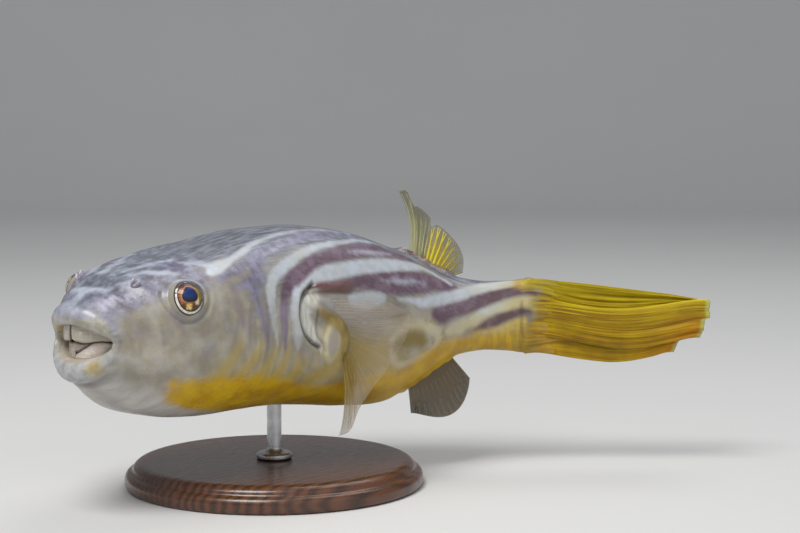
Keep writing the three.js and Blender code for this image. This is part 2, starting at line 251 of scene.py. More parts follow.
def end_faces(first, columns, flip):
    """Closes a loop by strips between its two halves."""
    faces = []
    for k in range(columns // 2):
        ring = [first + k, first + (columns - k) % columns, first + columns - k - 1, first + k + 1]
        ring = list(dict.fromkeys(ring))
        if len(ring) > 2:
            faces.append(tuple(ring[::-1] if flip else ring))
    return faces


def facing_outwards(points, faces):
    """The faces of a closed mesh, turned round if they point into it."""
    points = np.asarray(points).reshape(-1, 3)
    volume = 0.0
    for face in faces:
        corners = points[list(face)]
        for k in range(1, len(face) - 1):
            volume += np.dot(corners[0], np.cross(corners[k], corners[k + 1]))
    return faces if volume > 0 else [face[::-1] for face in faces]


def loft_faces(rows, columns, first=0):
    """Faces of a closed tube of loops."""
    return (tube_faces(rows, columns, first) + end_faces(first, columns, False)
            + end_faces(first + (rows - 1) * columns, columns, True))


def closed_loft(name, loops, material):
    """A closed piece through loops of points, an array of loops x points x 3."""
    return new_piece(name, loops, facing_outwards(loops, loft_faces(*loops.shape[:2])), material)


def closed_sheet(name, near, far, material):
    """A thin closed piece between two faces, each an array of rows x points x 3."""
    rows, across = near.shape[:2]
    loops = np.concatenate([near, far[:, ::-1]], axis=1)
    columns = 2 * across
    faces = tube_faces(rows, columns)
    for first, flip in ((0, False), ((rows - 1) * columns, True)):
        for k in range(across - 1):
            ring = (first + k, first + columns - k - 1, first + columns - k - 2, first + k + 1)
            faces.append(ring[::-1] if flip else ring)
    return new_piece(name, loops, facing_outwards(loops, faces), material)


def both_faces(near, far=None):
    """Numbers for the points of a sheet's two faces, in the order of closed_sheet."""
    return np.concatenate([near, (near if far is None else far)[:, ::-1]], axis=1)


def grid_normals(points):
    """Normals of a grid that closes on itself across its columns."""
    down = np.gradient(points, axis=0)
    wrapped = np.concatenate([points[:, -1:], points, points[:, :1]], axis=1)
    across = (wrapped[:, 2:] - wrapped[:, :-2]) / 2
    normal = np.cross(across, down)
    return normal / (np.linalg.norm(normal, axis=-1, keepdims=True) + 1e-12)


LATTICE_SIZE = 8192
LATTICE = np.random.default_rng(11).uniform(-1, 1, LATTICE_SIZE)
SPREADERS = np.array([73856093, 19349663, 83492791])    # primes that spread cells over it


def grain(points, size, seed=0.0, octaves=3):
    """Smooth noise from about -1 to 1, with features of the given size in millimetres."""
    total = np.zeros(np.asarray(points).shape[:-1])
    for octave in range(octaves):
        place = np.asarray(points) / size * 2 ** octave + seed + 17.3 * octave
        cell = np.floor(place).astype(int)
        part = place - cell
        part = part * part * (3 - 2 * part)
        for corner in np.ndindex(2, 2, 2):
            at = cell + corner
            key = np.bitwise_xor.reduce(at * SPREADERS, axis=-1) % LATTICE_SIZE
            weight = np.prod(np.where(corner, part, 1 - part), axis=-1)
            total += LATTICE[key] * weight * 0.5 ** octave
    return total


# ------------------------------------------------------------------ finishes
class Finish:
    """A procedural material, written as short expressions on its nodes."""

    def __init__(self, name):
        self.material = bpy.data.materials.new(name)
        self.material.use_nodes = True
        self.nodes = self.material.node_tree.nodes
        self.links = self.material.node_tree.links
        self.shader = self.nodes["Principled BSDF"]

    def node(self, kind, inputs=(), **settings):
        """A node with values or links for its inputs, and settings such as its operation."""
        made = self.nodes.new(kind)
        for key, value in settings.items():
            setattr(made, key, value)
        for key, value in dict(inputs).items():
            self.feed(made.inputs[key], value)
        return made

    def feed(self, socket, value):
        """Links a socket, or gives it a value; colours are written as seen, 0 to 255."""
        if isinstance(value, bpy.types.NodeSocket):
            self.links.new(value, socket)
        else:
            seen = socket.type == "RGBA" and len(value) == 3
            socket.default_value = srgb(*value) if seen else value

    def set(self, **values):
        """Sets the shader's own sockets: spaces in their names are written as underscores."""
        for key, value in values.items():
            self.feed(self.shader.inputs[key.replace("_", " ")], value)

    def place(self):
        """Where a point is on the piece, in metres."""
        return self.node("ShaderNodeTexCoord").outputs["Object"]

    def lie(self):
        """Where a point of the skin lies: along the fish and round it, in metres."""
        return self.node("ShaderNodeUVMap", uv_map="lie").outputs["UV"]

    def painted(self, name):
        """A number that `paint` has stored."""
        return self.node("ShaderNodeAttribute", attribute_name=name).outputs["Fac"]

    def math(self, operation, a, b=0.0, clamp=False):
        made = self.node("ShaderNodeMath", {0: a, 1: b}, operation=operation, use_clamp=clamp)
        return made.outputs[0]

    def times(self, a, b):
        return self.math("MULTIPLY", a, b)

    def plus(self, a, b, clamp=False):
        return self.math("ADD", a, b, clamp)

    def minus(self, a, b):
        return self.math("SUBTRACT", a, b)

    def wobble(self, value, amount, source):
        """A value made uneven by a noise."""
        return self.plus(value, self.times(self.minus(source, 0.5), amount))

    def stretch(self, vector, scale):
        made = self.node("ShaderNodeMapping", {"Vector": vector, "Scale": scale})
        return made.outputs["Vector"]

    def noise(self, vector, scale, detail=3.0, roughness=0.5):
        made = self.node("ShaderNodeTexNoise", {
            "Vector": vector, "Scale": scale, "Detail": detail, "Roughness": roughness})
        return made.outputs["Fac"]

    def step(self, value, low, high):
        """A smooth rise from 0 at low to 1 at high; low may be the larger."""
        made = self.node("ShaderNodeMapRange", {
            "Value": value, "From Min": low, "From Max": high}, interpolation_type="SMOOTHSTEP")
        return made.outputs["Result"]

    def blend(self, amount, first, second):
        made = self.node("ShaderNodeMix", data_type="RGBA")
        self.feed(made.inputs[0], amount)
        self.feed(made.inputs[6], first)
        self.feed(made.inputs[7], second)
        return made.outputs[2]

    def cover(self, under, amount, strength, colour):
        """A colour laid over another where the amount is large."""
        return self.blend(self.times(amount, strength), under, colour)

    def layers(self, under, *layers):
        """Covers a colour with others, each given as amount, strength and colour."""
        for layer in layers:
            under = self.cover(under, *layer)
        return under

    def two(self, noise, low, high, first, second):
        """Two colours in the patches of a noise."""
        return self.blend(self.step(noise, low, high), first, second)

    def bump(self, height, strength, distance):
        made = self.node("ShaderNodeBump", {
            "Height": height, "Strength": strength, "Distance": distance})
        return made.outputs["Normal"]


def srgb(red, green, blue):
    """A colour as it is seen, 0 to 255, turned into the linear values that shaders use."""
    def linear(value):
        value /= 255
        return value / 12.92 if value <= 0.04045 else ((value + 0.055) / 1.055) ** 2.4
    return (linear(red), linear(green), linear(blue), 1.0)


# ------------------------------------------------------------------ markings
# Paths on one flank: behind the lips (mm), degrees round from the top of the back,
# half width (mm).
PALE_STRIPES = [
    [(64, 43, 2), (69, 40.5, 4.4), (75.5, 37, 4), (84.5, 35, 2.4), (94, 32, 2.3), (106, 27, 2.1),
     (124, 22, 1.6), (142, 18.5, 1.4), (160, 14.5, 1.1), (184, 10.5, 0.7)],
    [(103, 94, 1), (101, 84, 2.1), (100.5, 74, 3.2), (102, 65, 3.6), (106, 58.5, 3.6),
     (112, 53.5, 3.4), (119, 50, 3.4), (127, 46.5, 3.2), (136, 42, 3), (148, 37.3, 2.4),
     (160, 33.5, 2.2), (172, 29.5, 1.9), (186, 22, 1.5), (200, 15, 1)],
    [(121, 98, 1.5), (119, 89, 3.2), (118.5, 82, 3.2), (119.5, 75, 3.2), (123, 68, 2.8),
     (128, 64.8, 1.8), (134, 62, 1.9), (140, 59.5, 2.8), (147, 57.5, 3.8), (156, 55.5, 4.2),
     (168, 53.5, 4.2), (182, 50, 4.2), (197, 45.3, 4.4), (209, 40, 4), (218, 34.5, 3.6),
     (226, 29, 2.4), (234, 28, 1.6), (241, 32, 1.4), (245, 38, 1)],
    [(168, 73.5, 2.4), (177, 74, 4.1), (186, 73.4, 4.2), (194.5, 72, 2.2)],
    [(206, 72.2, 0.5), (215, 72, 1.4), (224, 73, 2.6), (231, 70, 3.1), (238, 65, 3.1),
     (244, 60.5, 3.1), (251, 53.5, 3.5), (257.5, 44, 3.6), (269, 29, 4), (281, 20, 4)],
    [(241, 107, 1.4), (244, 105.5, 2.6), (248, 104, 3.2), (252, 101, 2.8), (258, 95.5, 2.7),
     (264.5, 87.5, 2.5), (272, 79, 2.6), (281, 71.5, 2.7), (288, 68, 2.6), (294, 71, 2.6),
     (299, 75, 1.8)],
    [(240, 138, 1.2), (248, 134, 3.4), (257, 130, 3.7), (269, 121, 2.9), (281, 110, 2.9),
     (288, 104, 2.7)],
]
BELLY_RING = [
    [(199.5, 100, 1), (206, 95.5, 1.3), (217, 93.5, 1.4), (228, 96.5, 1.4), (234.5, 104, 1.5),
     (234.5, 115, 1.5), (228, 122.5, 1.4), (217, 122.5, 1.4), (206, 118, 1.4), (200, 108, 1.2)],
]
RING_CENTRE = [[(205, 103.5, 1.5), (213, 101.5, 3.2), (221, 103.5, 3.2), (224, 108, 2.4)]]
RING_GROUND = [[(200, 106, 5), (210, 104, 9), (224, 108, 10), (236, 112, 6)]]
FROSTED_PATCHES = [
    [(30, 14, 1), (37, 17, 3.0), (41, 25, 3.2), (45, 32, 2.2)],
    [(21.5, 18, 1), (23, 22, 1.2)],
    [(25, 24, 1.4), (27, 27, 1.2)],
    [(20, 36, 0.6), (21.5, 39, 0.6)],
    [(5, 4, 1.5), (13, 2, 3), (16, 16, 2.4)],
    [(57, 20, 1), (61, 26, 2.6), (67, 35, 2.6)],
    [(28, 3, 0.5), (36, 5, 1.4), (46, 8, 1.4), (58, 13, 0.6)],
    [(196, 58.5, 0.2), (205, 57.5, 1.1), (214, 55, 1.3), (226, 51, 0.4)],
    [(176, 38.5, 0.4), (188, 35, 1.2), (199, 31, 1.2), (207, 28, 0.4)],
    [(108, 39, 0.2), (116, 36.5, 0.9), (126, 33.5, 0.6)],
]
DARK_BANDS = [
    [(110, 98, 1), (109, 89, 2.6), (109.2, 82, 3.1), (110.5, 74.5, 3.4), (113.5, 67, 4),
     (120, 61.5, 5.2), (126.5, 57.5, 5.4), (133, 53.8, 4.6), (140, 50, 4), (148, 46.5, 4),
     (156, 44.5, 4.2), (166, 41, 5), (182, 35, 6), (200, 27.5, 5.4), (216, 21, 3.4)],
    [(128, 66.5, 0.6), (138, 64.6, 1.6), (150, 64, 1.8), (165, 63, 2.4), (177, 61.5, 4),
     (190, 60, 5.2), (201, 59, 6.6), (210, 57, 7), (218, 54, 7), (226, 50, 6.4),
     (233, 45, 5.2), (240, 44, 4), (247, 41, 2)],
    [(234, 85, 3.8), (238, 85.5, 4.7), (243, 82, 4.3), (250, 77, 4.2),
     (256.5, 70, 4.6), (263, 61.5, 4.6), (270, 55, 4.1), (281, 47.5, 3.6), (288, 46, 3.1),
     (295, 52, 1.8)],
    [(259, 109, 0.4), (264, 105, 1.8), (270, 100, 3), (281, 90, 2.6), (288, 86, 2.3),
     (293, 86, 1.2)],
]
LAVENDER_BANDS = [
    [(94, 90, 1.2), (90, 76, 2.6), (89, 62, 4), (96, 48, 5.4), (110, 37, 5), (130, 30.5, 4.2),
     (150, 24.5, 3.4), (170, 18.5, 3.2), (196, 9, 2.4)],
    [(68, 50, 2.4), (75, 47.5, 4.6), (84, 44.5, 5), (94, 42, 4.6), (104, 38.5, 4)],
    [(76, 58, 1), (83, 58, 3.4), (90, 55, 4.6), (97, 56, 3.4)],
    [(47, 9, 2), (49.5, 18.5, 3.4), (51.5, 27.5, 3.4), (53, 36, 2.6), (59, 46, 1.4)],
    [(12.5, 24, 1), (15, 35, 3.6), (16, 46, 2.4)],
    [(9.5, 24, 1), (8, 39, 2.6), (5, 50, 1.6), (5, 62, 1)],
    [(27, 27, 1), (28, 37, 2), (26, 45, 0.8)],
]
LIP_GLEAM = [[(0.8, 0, 0.3), (1.6, 18, 0.9), (2.4, 36, 0.4)]]
CHEEK_STREAKS = [
    [(83, 108, 0.4), (81, 94, 1), (81, 82, 1.4), (84, 72, 1)],
    [(97, 112, 0.5), (95.5, 98, 1.4), (94.5, 84, 2.1), (97, 72, 1.8)],
    [(70, 92, 0.3), (72, 84, 0.8), (76, 76, 0.8)],
    [(72, 56, 1), (74, 64, 2.6), (74, 74, 3), (76, 84, 1.6)],
    [(31, 68, 1.5), (33, 76, 3), (35, 84, 1)],
    [(1.5, 164, 3), (10, 170, 4), (19, 171, 5), (30, 169, 4), (42, 164, 1.5)],
    [(110, 114, 0.4), (111, 104, 1.3), (112, 96, 1.6)],
    [(123, 99, 0.6), (125, 106, 1.6), (131, 112, 1.8), (140, 116, 1.6), (149, 116, 0.8)],
]
YELLOW_PATCH = [
    [(34, 119.5, 2.5), (37, 125, 3), (40, 131, 3)],
    [(42, 127, 8.5), (50, 129, 11.5), (76, 134, 16), (96, 138, 18.5),
     (111, 144, 20), (130, 153, 22), (150, 155, 21), (170, 152, 22.5), (188, 150, 22),
     (204, 152, 18), (216, 151, 16.5), (231, 149, 14.5), (244.5, 149, 11.5), (257, 149, 10.2),
     (269, 148, 9.4), (281, 145, 9), (287, 142, 9), (296, 138, 9.4)],
    [(110, 176, 14), (150, 178, 22), (190, 178, 24), (220, 176, 14), (250, 178, 10),
     (291, 176, 12)],
    [(286, 17, 1.5), (289, 24, 4.5), (296, 30, 4)],
]
YELLOW_WASH = [
    [(60, 114, 5), (68, 102, 3.5), (74, 92, 1)],
    [(76, 116, 6), (84, 104, 4), (90, 94, 1)],
    [(92, 118, 6), (98, 107, 3.4), (102, 98, 1)],
    [(106, 120, 6), (110, 110, 4.5), (112, 100, 1.5)],
    [(120, 123, 6), (124, 114, 5), (122, 106, 2)],
    [(136, 124, 5), (146, 118, 5), (160, 115, 7), (176, 111, 8), (192, 109, 7)],
    [(142, 92, 1), (148, 89, 2.4), (157, 93, 2.4), (160, 101, 3), (154, 107, 3),
     (145, 105, 1)],
    [(168, 100, 3), (176, 107, 7), (186, 110, 7), (194, 114, 5), (208, 121, 3)],
    [(262, 116, 2), (270, 112, 1.6)],
]
GILL_SLIT = [(138, 63), (131.5, 67), (126, 72), (123, 80), (125, 88), (132, 95.5), (139.5, 100)]
GILL_FOLD = [(130, 65), (140, 66), (154, 66.5), (168, 67)]
INNER_FOLD = [(138, 79), (137, 86), (139, 93), (143, 98), (144, 102)]
# where the pectoral fin's rays leave the flank
FIN_ROOT = [(134, 73), (142, 79.5), (150, 84.5), (157.5, 88.5), (161, 94), (161, 102)]
LOBE_AT = (149.5, 97)           # the fleshy knob in front of that root
OVERHANG_LEVEL = 66.5           # degrees round; above it the gill fold hangs over the hollow


FAR_OUTSIDE = -40.0
PATH_MARGIN = 16.0              # rows farther than this from a path don't feel it
PATH_STEPS = 5                  # straight pieces between two of a path's places


def path_field(u, around, paths, radius):
    """How far inside the nearest path a place is, in millimetres; negative outside."""
    best = np.full(u.shape, FAR_OUTSIDE)
    for path in paths:
        keys = np.array(path, float)
        count = len(keys)
        order = np.column_stack([np.arange(count), keys])
        t = np.linspace(0, count - 1, PATH_STEPS * (count - 1) + 1)
        pu, pa, ph = (curve(order, t, column) for column in (1, 2, 3))
        reach = ph.max() + PATH_MARGIN
        rows = np.where((u.max(axis=1) > pu.min() - reach) & (u.min(axis=1) < pu.max() + reach))[0]
        if not len(rows):
            continue
        part = slice(rows[0], rows[-1] + 1)
        here, turned_by, scale = u[part], around[part], radius[part]
        near = best[part]
        for k in range(len(t) - 1):
            du = pu[k + 1] - pu[k]
            da = (pa[k + 1] - pa[k]) * scale
            eu = here - pu[k]
            ea = (turned_by - pa[k]) * scale
            share = np.clip((eu * du + ea * da) / (du * du + da * da + 1e-9), 0, 1)
            away = np.hypot(eu - share * du, ea - share * da)
            np.maximum(near, ph[k] + (ph[k + 1] - ph[k]) * share - away, out=near)
    return best


def from_line(u, degrees, line, radius):
    """Minus the distance from a line on the flank, in millimetres."""
    return path_field(u, degrees, [[(*place, 1) for place in line]], radius) - 1


def flank_coordinates(u, around):
    """Coordinates for the markings. The right flank's are the left's, a little displaced."""
    degrees = np.degrees(from_top(around))
    right = smooth(0.0, 0.35, -np.sin(around))
    shift_u = 3.2 * np.sin(0.043 * u + 0.9) + 2.0 * np.sin(0.071 * degrees + 1.7)
    shift_a = 3.0 * np.sin(0.057 * u + 2.1) + 1.5 * np.sin(0.13 * degrees)
    return u + right * shift_u, degrees + right * shift_a


# ------------------------------------------------------------------ skin
COLUMNS = 240
CROWDED_SIDES = 0.18            # columns lie closer together on the flanks
MOUTH_RINGS = 22
SHEATH_ROWS = 12
SHEATH_REACH = 0.155            # share of the tail fin's length that the flesh covers
FOLD_TABLE = 100                # sections per length of the tail fin, where flesh follows it
FINE_STEP, PLAIN_STEP = 0.6, 0.9


def skin_rows():
    """Stations from the crest of the lips to the end of the tail stalk."""
    stops = [0, 0.4, 0.9, 1.5]
    while stops[-1] < STANDARD_LENGTH:
        u = stops[-1]
        head_or_gill = u < 60 or 118 < u < 143
        stops.append(min(u + (FINE_STEP if head_or_gill else PLAIN_STEP), STANDARD_LENGTH))
    return np.array(stops)


def mouth_rows(around):
    """Rings from the mouth's back wall to the crest of the lips, and how deep each lies."""
    crest = len(MOUTH) - 1
    inner = np.linspace(0, crest, MOUTH_RINGS + 1)[:-1]
    keys = np.column_stack([np.arange(len(MOUTH), dtype=float), MOUTH])
    u, up, down, half, set_back = (curve(keys, inner, column)[:, None] for column in range(1, 6))
    pointed = 1 - smooth(2.9, crest, inner)[:, None]
    turn = around[None, :] + 0 * u
    fullness = np.where(np.cos(turn) > 0, mix(1.95, 1.75, pointed), mix(1.9, 2.15, pointed))
    rings = section_point(u + 0 * turn, turn, up, down, half, set_back, fullness)
    return rings, np.repeat(inner[:, None] - crest, len(around), 1)


def tail_end_ring(around):
    """The body's outline where the tail fin begins."""
    return section_point(STANDARD_LENGTH + 0 * around, around, *SECTIONS[-1, 1:], 0)


def fold_level(around):
    """Where, between the tail fin's upper edge (0) and lower edge (1), each column runs out."""
    ring = tail_end_ring(around)
    v = np.linspace(0, 1, 200)
    return np.interp(AXIS_HEIGHT - ring[:, 2], -tail_fold(v, 0.0)[1], v)


def sheath_rows(around):
    """Flesh that thins out over the roots of the tail fin's rays and follows their folds."""
    share = np.linspace(0, 1, SHEATH_ROWS + 1)[1:]
    end, back, left = axis_at(STANDARD_LENGTH)
    half = np.abs((tail_end_ring(around) - end) @ left)
    sign = np.sign(np.sin(around))
    across = fold_level(around)
    ragged = SHEATH_REACH + 0.022 * np.sin(across * 38) + 0.014 * np.sin(across * 83 + 2)
    folds = np.array([tail_fold(across, k / FOLD_TABLE) for k in range(22)])
    column = np.arange(len(around))
    thin = 0.12 * np.sqrt(np.clip(1 - (2 * across - 1) ** 16, 0, 1))
    rows = []
    for t in share:
        s = ragged * t
        low = (s * FOLD_TABLE).astype(int)
        part = (s * FOLD_TABLE - low)[:, None]
        to_left, upward = mix(folds[low, :, column], folds[low + 1, :, column], part).T
        to_left = to_left + sign * mix(half, thin, np.sin(t * math.pi / 2))
        row = end + back * (TAIL_FIN_LENGTH * s)[:, None] + left * to_left[:, None]
        row[:, 2] += upward * (1 - 0.03 * t ** 3)
        rows.append(row)
    return np.array(rows), STANDARD_LENGTH + TAIL_FIN_LENGTH * ragged[None, :] * share[:, None]


def make_skin(material):
    """One closed skin: the mouth's lining, the body and the flesh over the tail fin's root."""
    theta = np.linspace(0, 2 * np.pi, COLUMNS, endpoint=False)
    around = theta + CROWDED_SIDES * np.sin(2 * theta)
    mouth, depth = mouth_rows(around)
    body_u, body_around = np.meshgrid(skin_rows(), around, indexing="ij")
    sheath, sheath_u = sheath_rows(around)
    points = np.concatenate([mouth, body_point(body_u, body_around), sheath])
    u = np.concatenate([depth, body_u, sheath_u])
    a = np.repeat(around[None, :], len(u), 0)

    normal = grid_normals(points)
    trunk = len(mouth) + 40                 # a row whose outward side is known
    if np.sum(normal[trunk] * (points[trunk] - axis_at(u[trunk])[0])) < 0:
        normal = -normal
    degrees = np.degrees(from_top(a))
    up, down, half = (curve(SECTIONS, np.clip(u, 0, None), column) for column in (1, 2, 3))
    radius = np.radians(1) * (up + down + 2 * half) / 4     # millimetres for one degree

    lift, crease_shade = relief(u, degrees, a, radius, points)
    points, socket, lid = sink_sockets(points + normal * lift[..., None])
    skin = closed_loft("skin", points, material)
    tail_level = np.repeat(fold_level(around)[None, :], len(u), 0)
    paint_markings(skin, u, a, degrees, radius, tail_level)
    # painted shade: dark in the creases and round the eye openings
    paint(skin, "crease_shade", np.maximum(crease_shade, socket))
    paint(skin, "lid", lid)
    lay_out(skin, u * MM, np.degrees(a) * radius * MM)
    return skin


MARK_REACH = 8                  # millimetres to both sides of an edge that a mark stores


def paint_markings(skin, u, a, degrees, radius, tail_level):
    """Stores how much of each marking and colour there is at every point of the skin."""
    fu, fa = flank_coordinates(u, a)

    def marks(paths, low=-MARK_REACH, high=MARK_REACH):
        return np.clip(path_field(fu, fa, paths, radius), low, high)

    yellow = path_field(fu, fa, YELLOW_PATCH, radius)
    fin_edge = 295 - 8 * bell(fa - 22, 13) - 5 * smooth(92, 110, fa) + 4 * bell(fa - 50, 9)
    yellow = np.maximum(yellow, 1.1 * (u - fin_edge))

    behind_head = smooth(55, 100, u)
    limit = fa + 10 * smooth(150, 240, u) + 8 * (1 - behind_head)
    back = fade(28, mix(50, 62, behind_head), limit)
    brow = smooth(64, 46, fa) * smooth(3, 9, u) * fade(56, 76, u)
    throat = (1 - 0.5 * smooth(150, 168, fa)) * smooth(122, 146, fa)

    slit = from_line(u, degrees, GILL_SLIT, radius)
    hollow = smooth(-11, -7, slit) * smooth(-0.5, 1.0, u - gill_edge(degrees))
    hollow = hollow * fade(136, 146, u) * (degrees > 66) * fade(99, 106, degrees)
    root = from_line(u, degrees, FIN_ROOT, radius)
    # reddish-brown band under the overhanging gill fold: partly its own tint, partly painted shade
    fold_tint_and_shade = bell(from_line(u, degrees, GILL_FOLD, radius), 4.2)
    fold_tint_and_shade = fold_tint_and_shade * smooth(-4, -1, (OVERHANG_LEVEL - degrees) * radius)

    upper = fade(95, 125, degrees)
    beside = 1 - 0.85 * bell(degrees - 92, 20)
    reach = 3.4 * bell(degrees - 51, 15)
    stain = np.hypot(u - 0.5, (degrees - 137) * radius) / 4.2 + 2 * (a > math.pi)

    for name, values in {
        "pale": marks(PALE_STRIPES), "dark": marks(DARK_BANDS), "streak": marks(CHEEK_STREAKS),
        "lavender": marks(LAVENDER_BANDS, -12), "yellow": np.clip(yellow, -16, 12),
        "wash": marks(YELLOW_WASH), "frost": marks(FROSTED_PATCHES), "ring": marks(BELLY_RING),
        "olive": marks(RING_CENTRE), "ring_ground": marks(RING_GROUND),
        "gleam": marks(LIP_GLEAM),
        "across": tail_level,
        "along": np.clip((u - STANDARD_LENGTH) / TAIL_FIN_LENGTH, -0.5, 1),
        "head": fade(48, 80, u),
        "back": np.maximum(back, 0.55 * smooth(60, 110, u) * fade(60, 95, fa)),
        "brow": brow * (0.3 + 0.7 * smooth(8, 26, fa)),
        "tinge": smooth(84, 114, fa) * smooth(44, 70, u) * fade(150, 176, u),
        "low": smooth(80, 98, fa) * smooth(226, 240, u),
        "faded": smooth(66, 80, fa) * fade(126, 142, u),
        "under": throat * fade(60, 110, u),
        "gill": hollow,
        "fold_tint_and_shade": fold_tint_and_shade * smooth(126, 134, u) * fade(160, 184, u),
        "fin_root": smooth(-4.6, -1.8, root) * smooth(74, 82, degrees),
        "lobe": from_lobe(u, degrees, radius),
        "mound": smooth(214, 219, u) * fade(242, 250, u) * bell(degrees * radius, 5.5),
        "lip_above": bell(u - 1.0, 4.0) * (u > -1.0) * upper * beside,
        "lip_below": bell(u - 1.5, 4.5) * (u > -1.6) * (1 - upper) * beside,
        "inner_lip": smooth(0.5, -0.5, u - reach) * fade(-1.6, -2.4, u) * upper,
        "inside": smooth(-1.3, -2.2, u + 0.4 * upper),
        # painted shade: the mouth turns dark brown deep inside
        "throat": smooth(-3.0, -3.9, u),
        "ochre": smooth(-0.2, -1.0, u) * bell(np.degrees(a) - 310, 34),
        "stain": np.clip(1.4 - stain, 0, 1) * smooth(-1.2, -0.4, u),
    }.items():
        paint(skin, name, values)


def gill_edge(degrees):
    """Distance behind the lips of the gill slit at a level on the flank."""
    return curve(np.array([row[::-1] for row in GILL_SLIT], float), degrees)


def from_lobe(u, degrees, radius):
    """Distance from the fleshy knob at the pectoral fin's root."""
    return np.hypot(u - LOBE_AT[0], (degrees - LOBE_AT[1]) * radius * 0.6)


def relief(u, degrees, around, radius, points):
    """Height of folds and swellings over the plain body, and the painted shade of its creases at
    each place.
    """
    lift = 0.6 * grain(points, 46, 3.0) * smooth(10, 50, u)
    lift += 0.16 * grain(points, 12, 11.0) * smooth(2, 10, u)
    crease_shade = np.zeros_like(u)

    def form(shape, height, dark=0.0):
        """Raises a form, or presses it in, and lays painted shade along it as in a crease."""
        np.add(lift, height * shape, out=lift)
        np.add(crease_shade, dark * shape, out=crease_shade)

    above = fade(40, 80, degrees)

    # lips: a soft roll, a groove under the lower lip and broken folds over the upper one
    form(bell(u - 2.8, 2.6) * (0.35 + 0.65 * np.abs(np.cos(around))), 0.8)
    wave = 1.2 * np.sin(around * 3 + 0.6) + 0.6 * np.sin(around * 7)
    form(bell(u - 7.6 - 0.6 * wave, 1.8) * smooth(112, 146, degrees), -1.5, 0.55)
    form(bell(u - 13, 12) * smooth(108, 140, degrees), -2.3)
    broken = 0.6 + 0.4 * grain(points, 9, 23.0, 1)
    for at, depth, width in ((7.5, 0.5, 1.5), (11.5, 0.55, 1.4), (16.0, 0.6, 1.6),
                             (21.5, 0.4, 1.6)):
        arc = bell(u - at - wave * 0.9 - 3.5 * (1 - np.cos(around)), width) * above * broken
        form(arc, -depth, 0.22 * depth)
    form(np.sin(around * 30 + 2 * np.sin(around * 5)) * bell(u - 2.0, 3.0), 0.10)
    form(np.sin(around * 24 + 1.3 * np.sin(around * 7)) * bell(u + 1.0, 0.9), 0.12)

    # upright fold at the corner of the mouth
    corner = bell(degrees - 90, 17)
    form(bell(u - 3.4, 1.3) * corner, -0.7)
    form(bell(u - 3.2, 1.6) * corner, 0.0, 0.3)

    # platform that carries the nostrils, and the valley in front of it
    form(bell(u - 26, 6) * bell(degrees - 24, 13), 0.9)
    form(bell(u - 17.5 - 0.05 * degrees, 2.4) * fade(24, 44, degrees), -0.9, 0.25)

    # hollow that runs down from the nostril behind the corner of the mouth, and fine lines
    form(bell(u - 17.5 - 0.12 * (degrees - 82), 4.0) * bell(degrees - 80, 15), -1.8, 0.3)
    for at, depth in ((9.5, 0.35), (13.0, 0.3), (24.5, 0.3)):
        fine = bell(u - at - 0.1 * (degrees - 88), 1.1) * bell(degrees - 88, 16)
        form(fine, -depth, 0.14)

    # fuller belly behind the throat
    form(bell(u - 74, 26) * smooth(148, 172, degrees), 1.2)

    # gill slit: a narrow groove with the cover's edge standing over the hollow behind it
    slit = from_line(u, degrees, GILL_SLIT, radius)
    behind = smooth(-0.8, 1.0, u - gill_edge(degrees))
    in_height = smooth(63, 69, degrees) * fade(98, 106, degrees)
    form(bell(slit, 1.2), -3.0)
    form(bell(slit, 1.35), 0.0, 1.0)
    form(bell(slit + 3.0, 2.4) * (1 - behind) * in_height, 1.5)
    form(smooth(-13, -6, slit) * behind * in_height * fade(136, 147, u), -1.6)
    fold = from_line(u, degrees, GILL_FOLD, radius)
    over = smooth(-1.2, 1.2, (OVERHANG_LEVEL - degrees) * radius)
    begins = smooth(125, 135, u)
    form(begins * (1.3 * bell(fold, 4.5) * over - 1.0 * bell(fold + 1.2, 2.0) * (1 - over)), 1.0)
    form(begins * bell(fold + 0.8, 1.2) * (1 - over), 0.0, 0.35)

    # fleshy root of the pectoral fin, in front of the line where its rays start
    lobe = from_lobe(u, degrees, radius)
    form(2.0 * bell(lobe, 9) - 0.5 * bell(lobe - 6.8, 1.8) - 0.5 * bell(lobe, 3.4), 1.0)
    root = from_line(u, degrees, FIN_ROOT, radius)
    form(bell(root, 4.2), 1.2)
    form(bell(root + 3.4, 1.2) * smooth(72, 76, degrees), 0.0, 0.3)
    form(bell(from_line(u, degrees, INNER_FOLD, radius), 0.9), -0.7, 0.5)

    # muscular roots of dorsal and anal fins
    along = smooth(212, 220, u) * fade(243, 252, u)
    lumps = 1 + 0.10 * np.sin(u * 0.9) + 0.3 * grain(points, 6, 2.0, 1)
    form(along * bell(degrees * radius, 5.0) * lumps, 2.8)
    form(along * bell((180 - degrees) * radius, 5.0) * lumps, 2.2)

    # folds where the tail bends, and the crease in front of the tail fin
    slant = u + 0.42 * (degrees - 90)
    near = smooth(0.2, 0.8, np.sin(around))
    form(np.sin(slant * 2 * np.pi / 2.6) * bell(u - 248, 9) * bell(degrees - 98, 13) * near, 0.3)
    form(np.cos((u - 0.6 * degrees) * 1.6) * bell(u - 89, 6) * bell(degrees - 53, 7), -0.25)
    end = 288.2 + 0.5 * np.cos(np.radians(degrees * 6)) + 0.4 * np.sin(around * 9)
    fold = bell(u - end, 0.8) * smooth(62, 76, degrees)
    form(fold * (1 - 0.6 * smooth(112, 134, degrees)), -0.7, 0.6)
    form(bell(u - end - 3.5, 2.6), 0.5)

    # faint folds that run along the back and the lower flank
    lines = np.sin(np.radians(degrees) * 46 + 2.2 * grain(points, 30, 5.0, 2))
    form(lines * fade(18, 34, degrees) * smooth(50, 80, u), 0.10)
    drape = np.sin(u * 1.15 + 0.08 * degrees + 2.0 * grain(points, 26, 9.0, 1))
    drape = drape * bell(degrees - 98, 20) * smooth(60, 80, u)
    form(drape * fade(112, 122, u), 0.12)
    return lift * np.where(u < -2.2, 0, 1), np.clip(crease_shade, 0, 1)


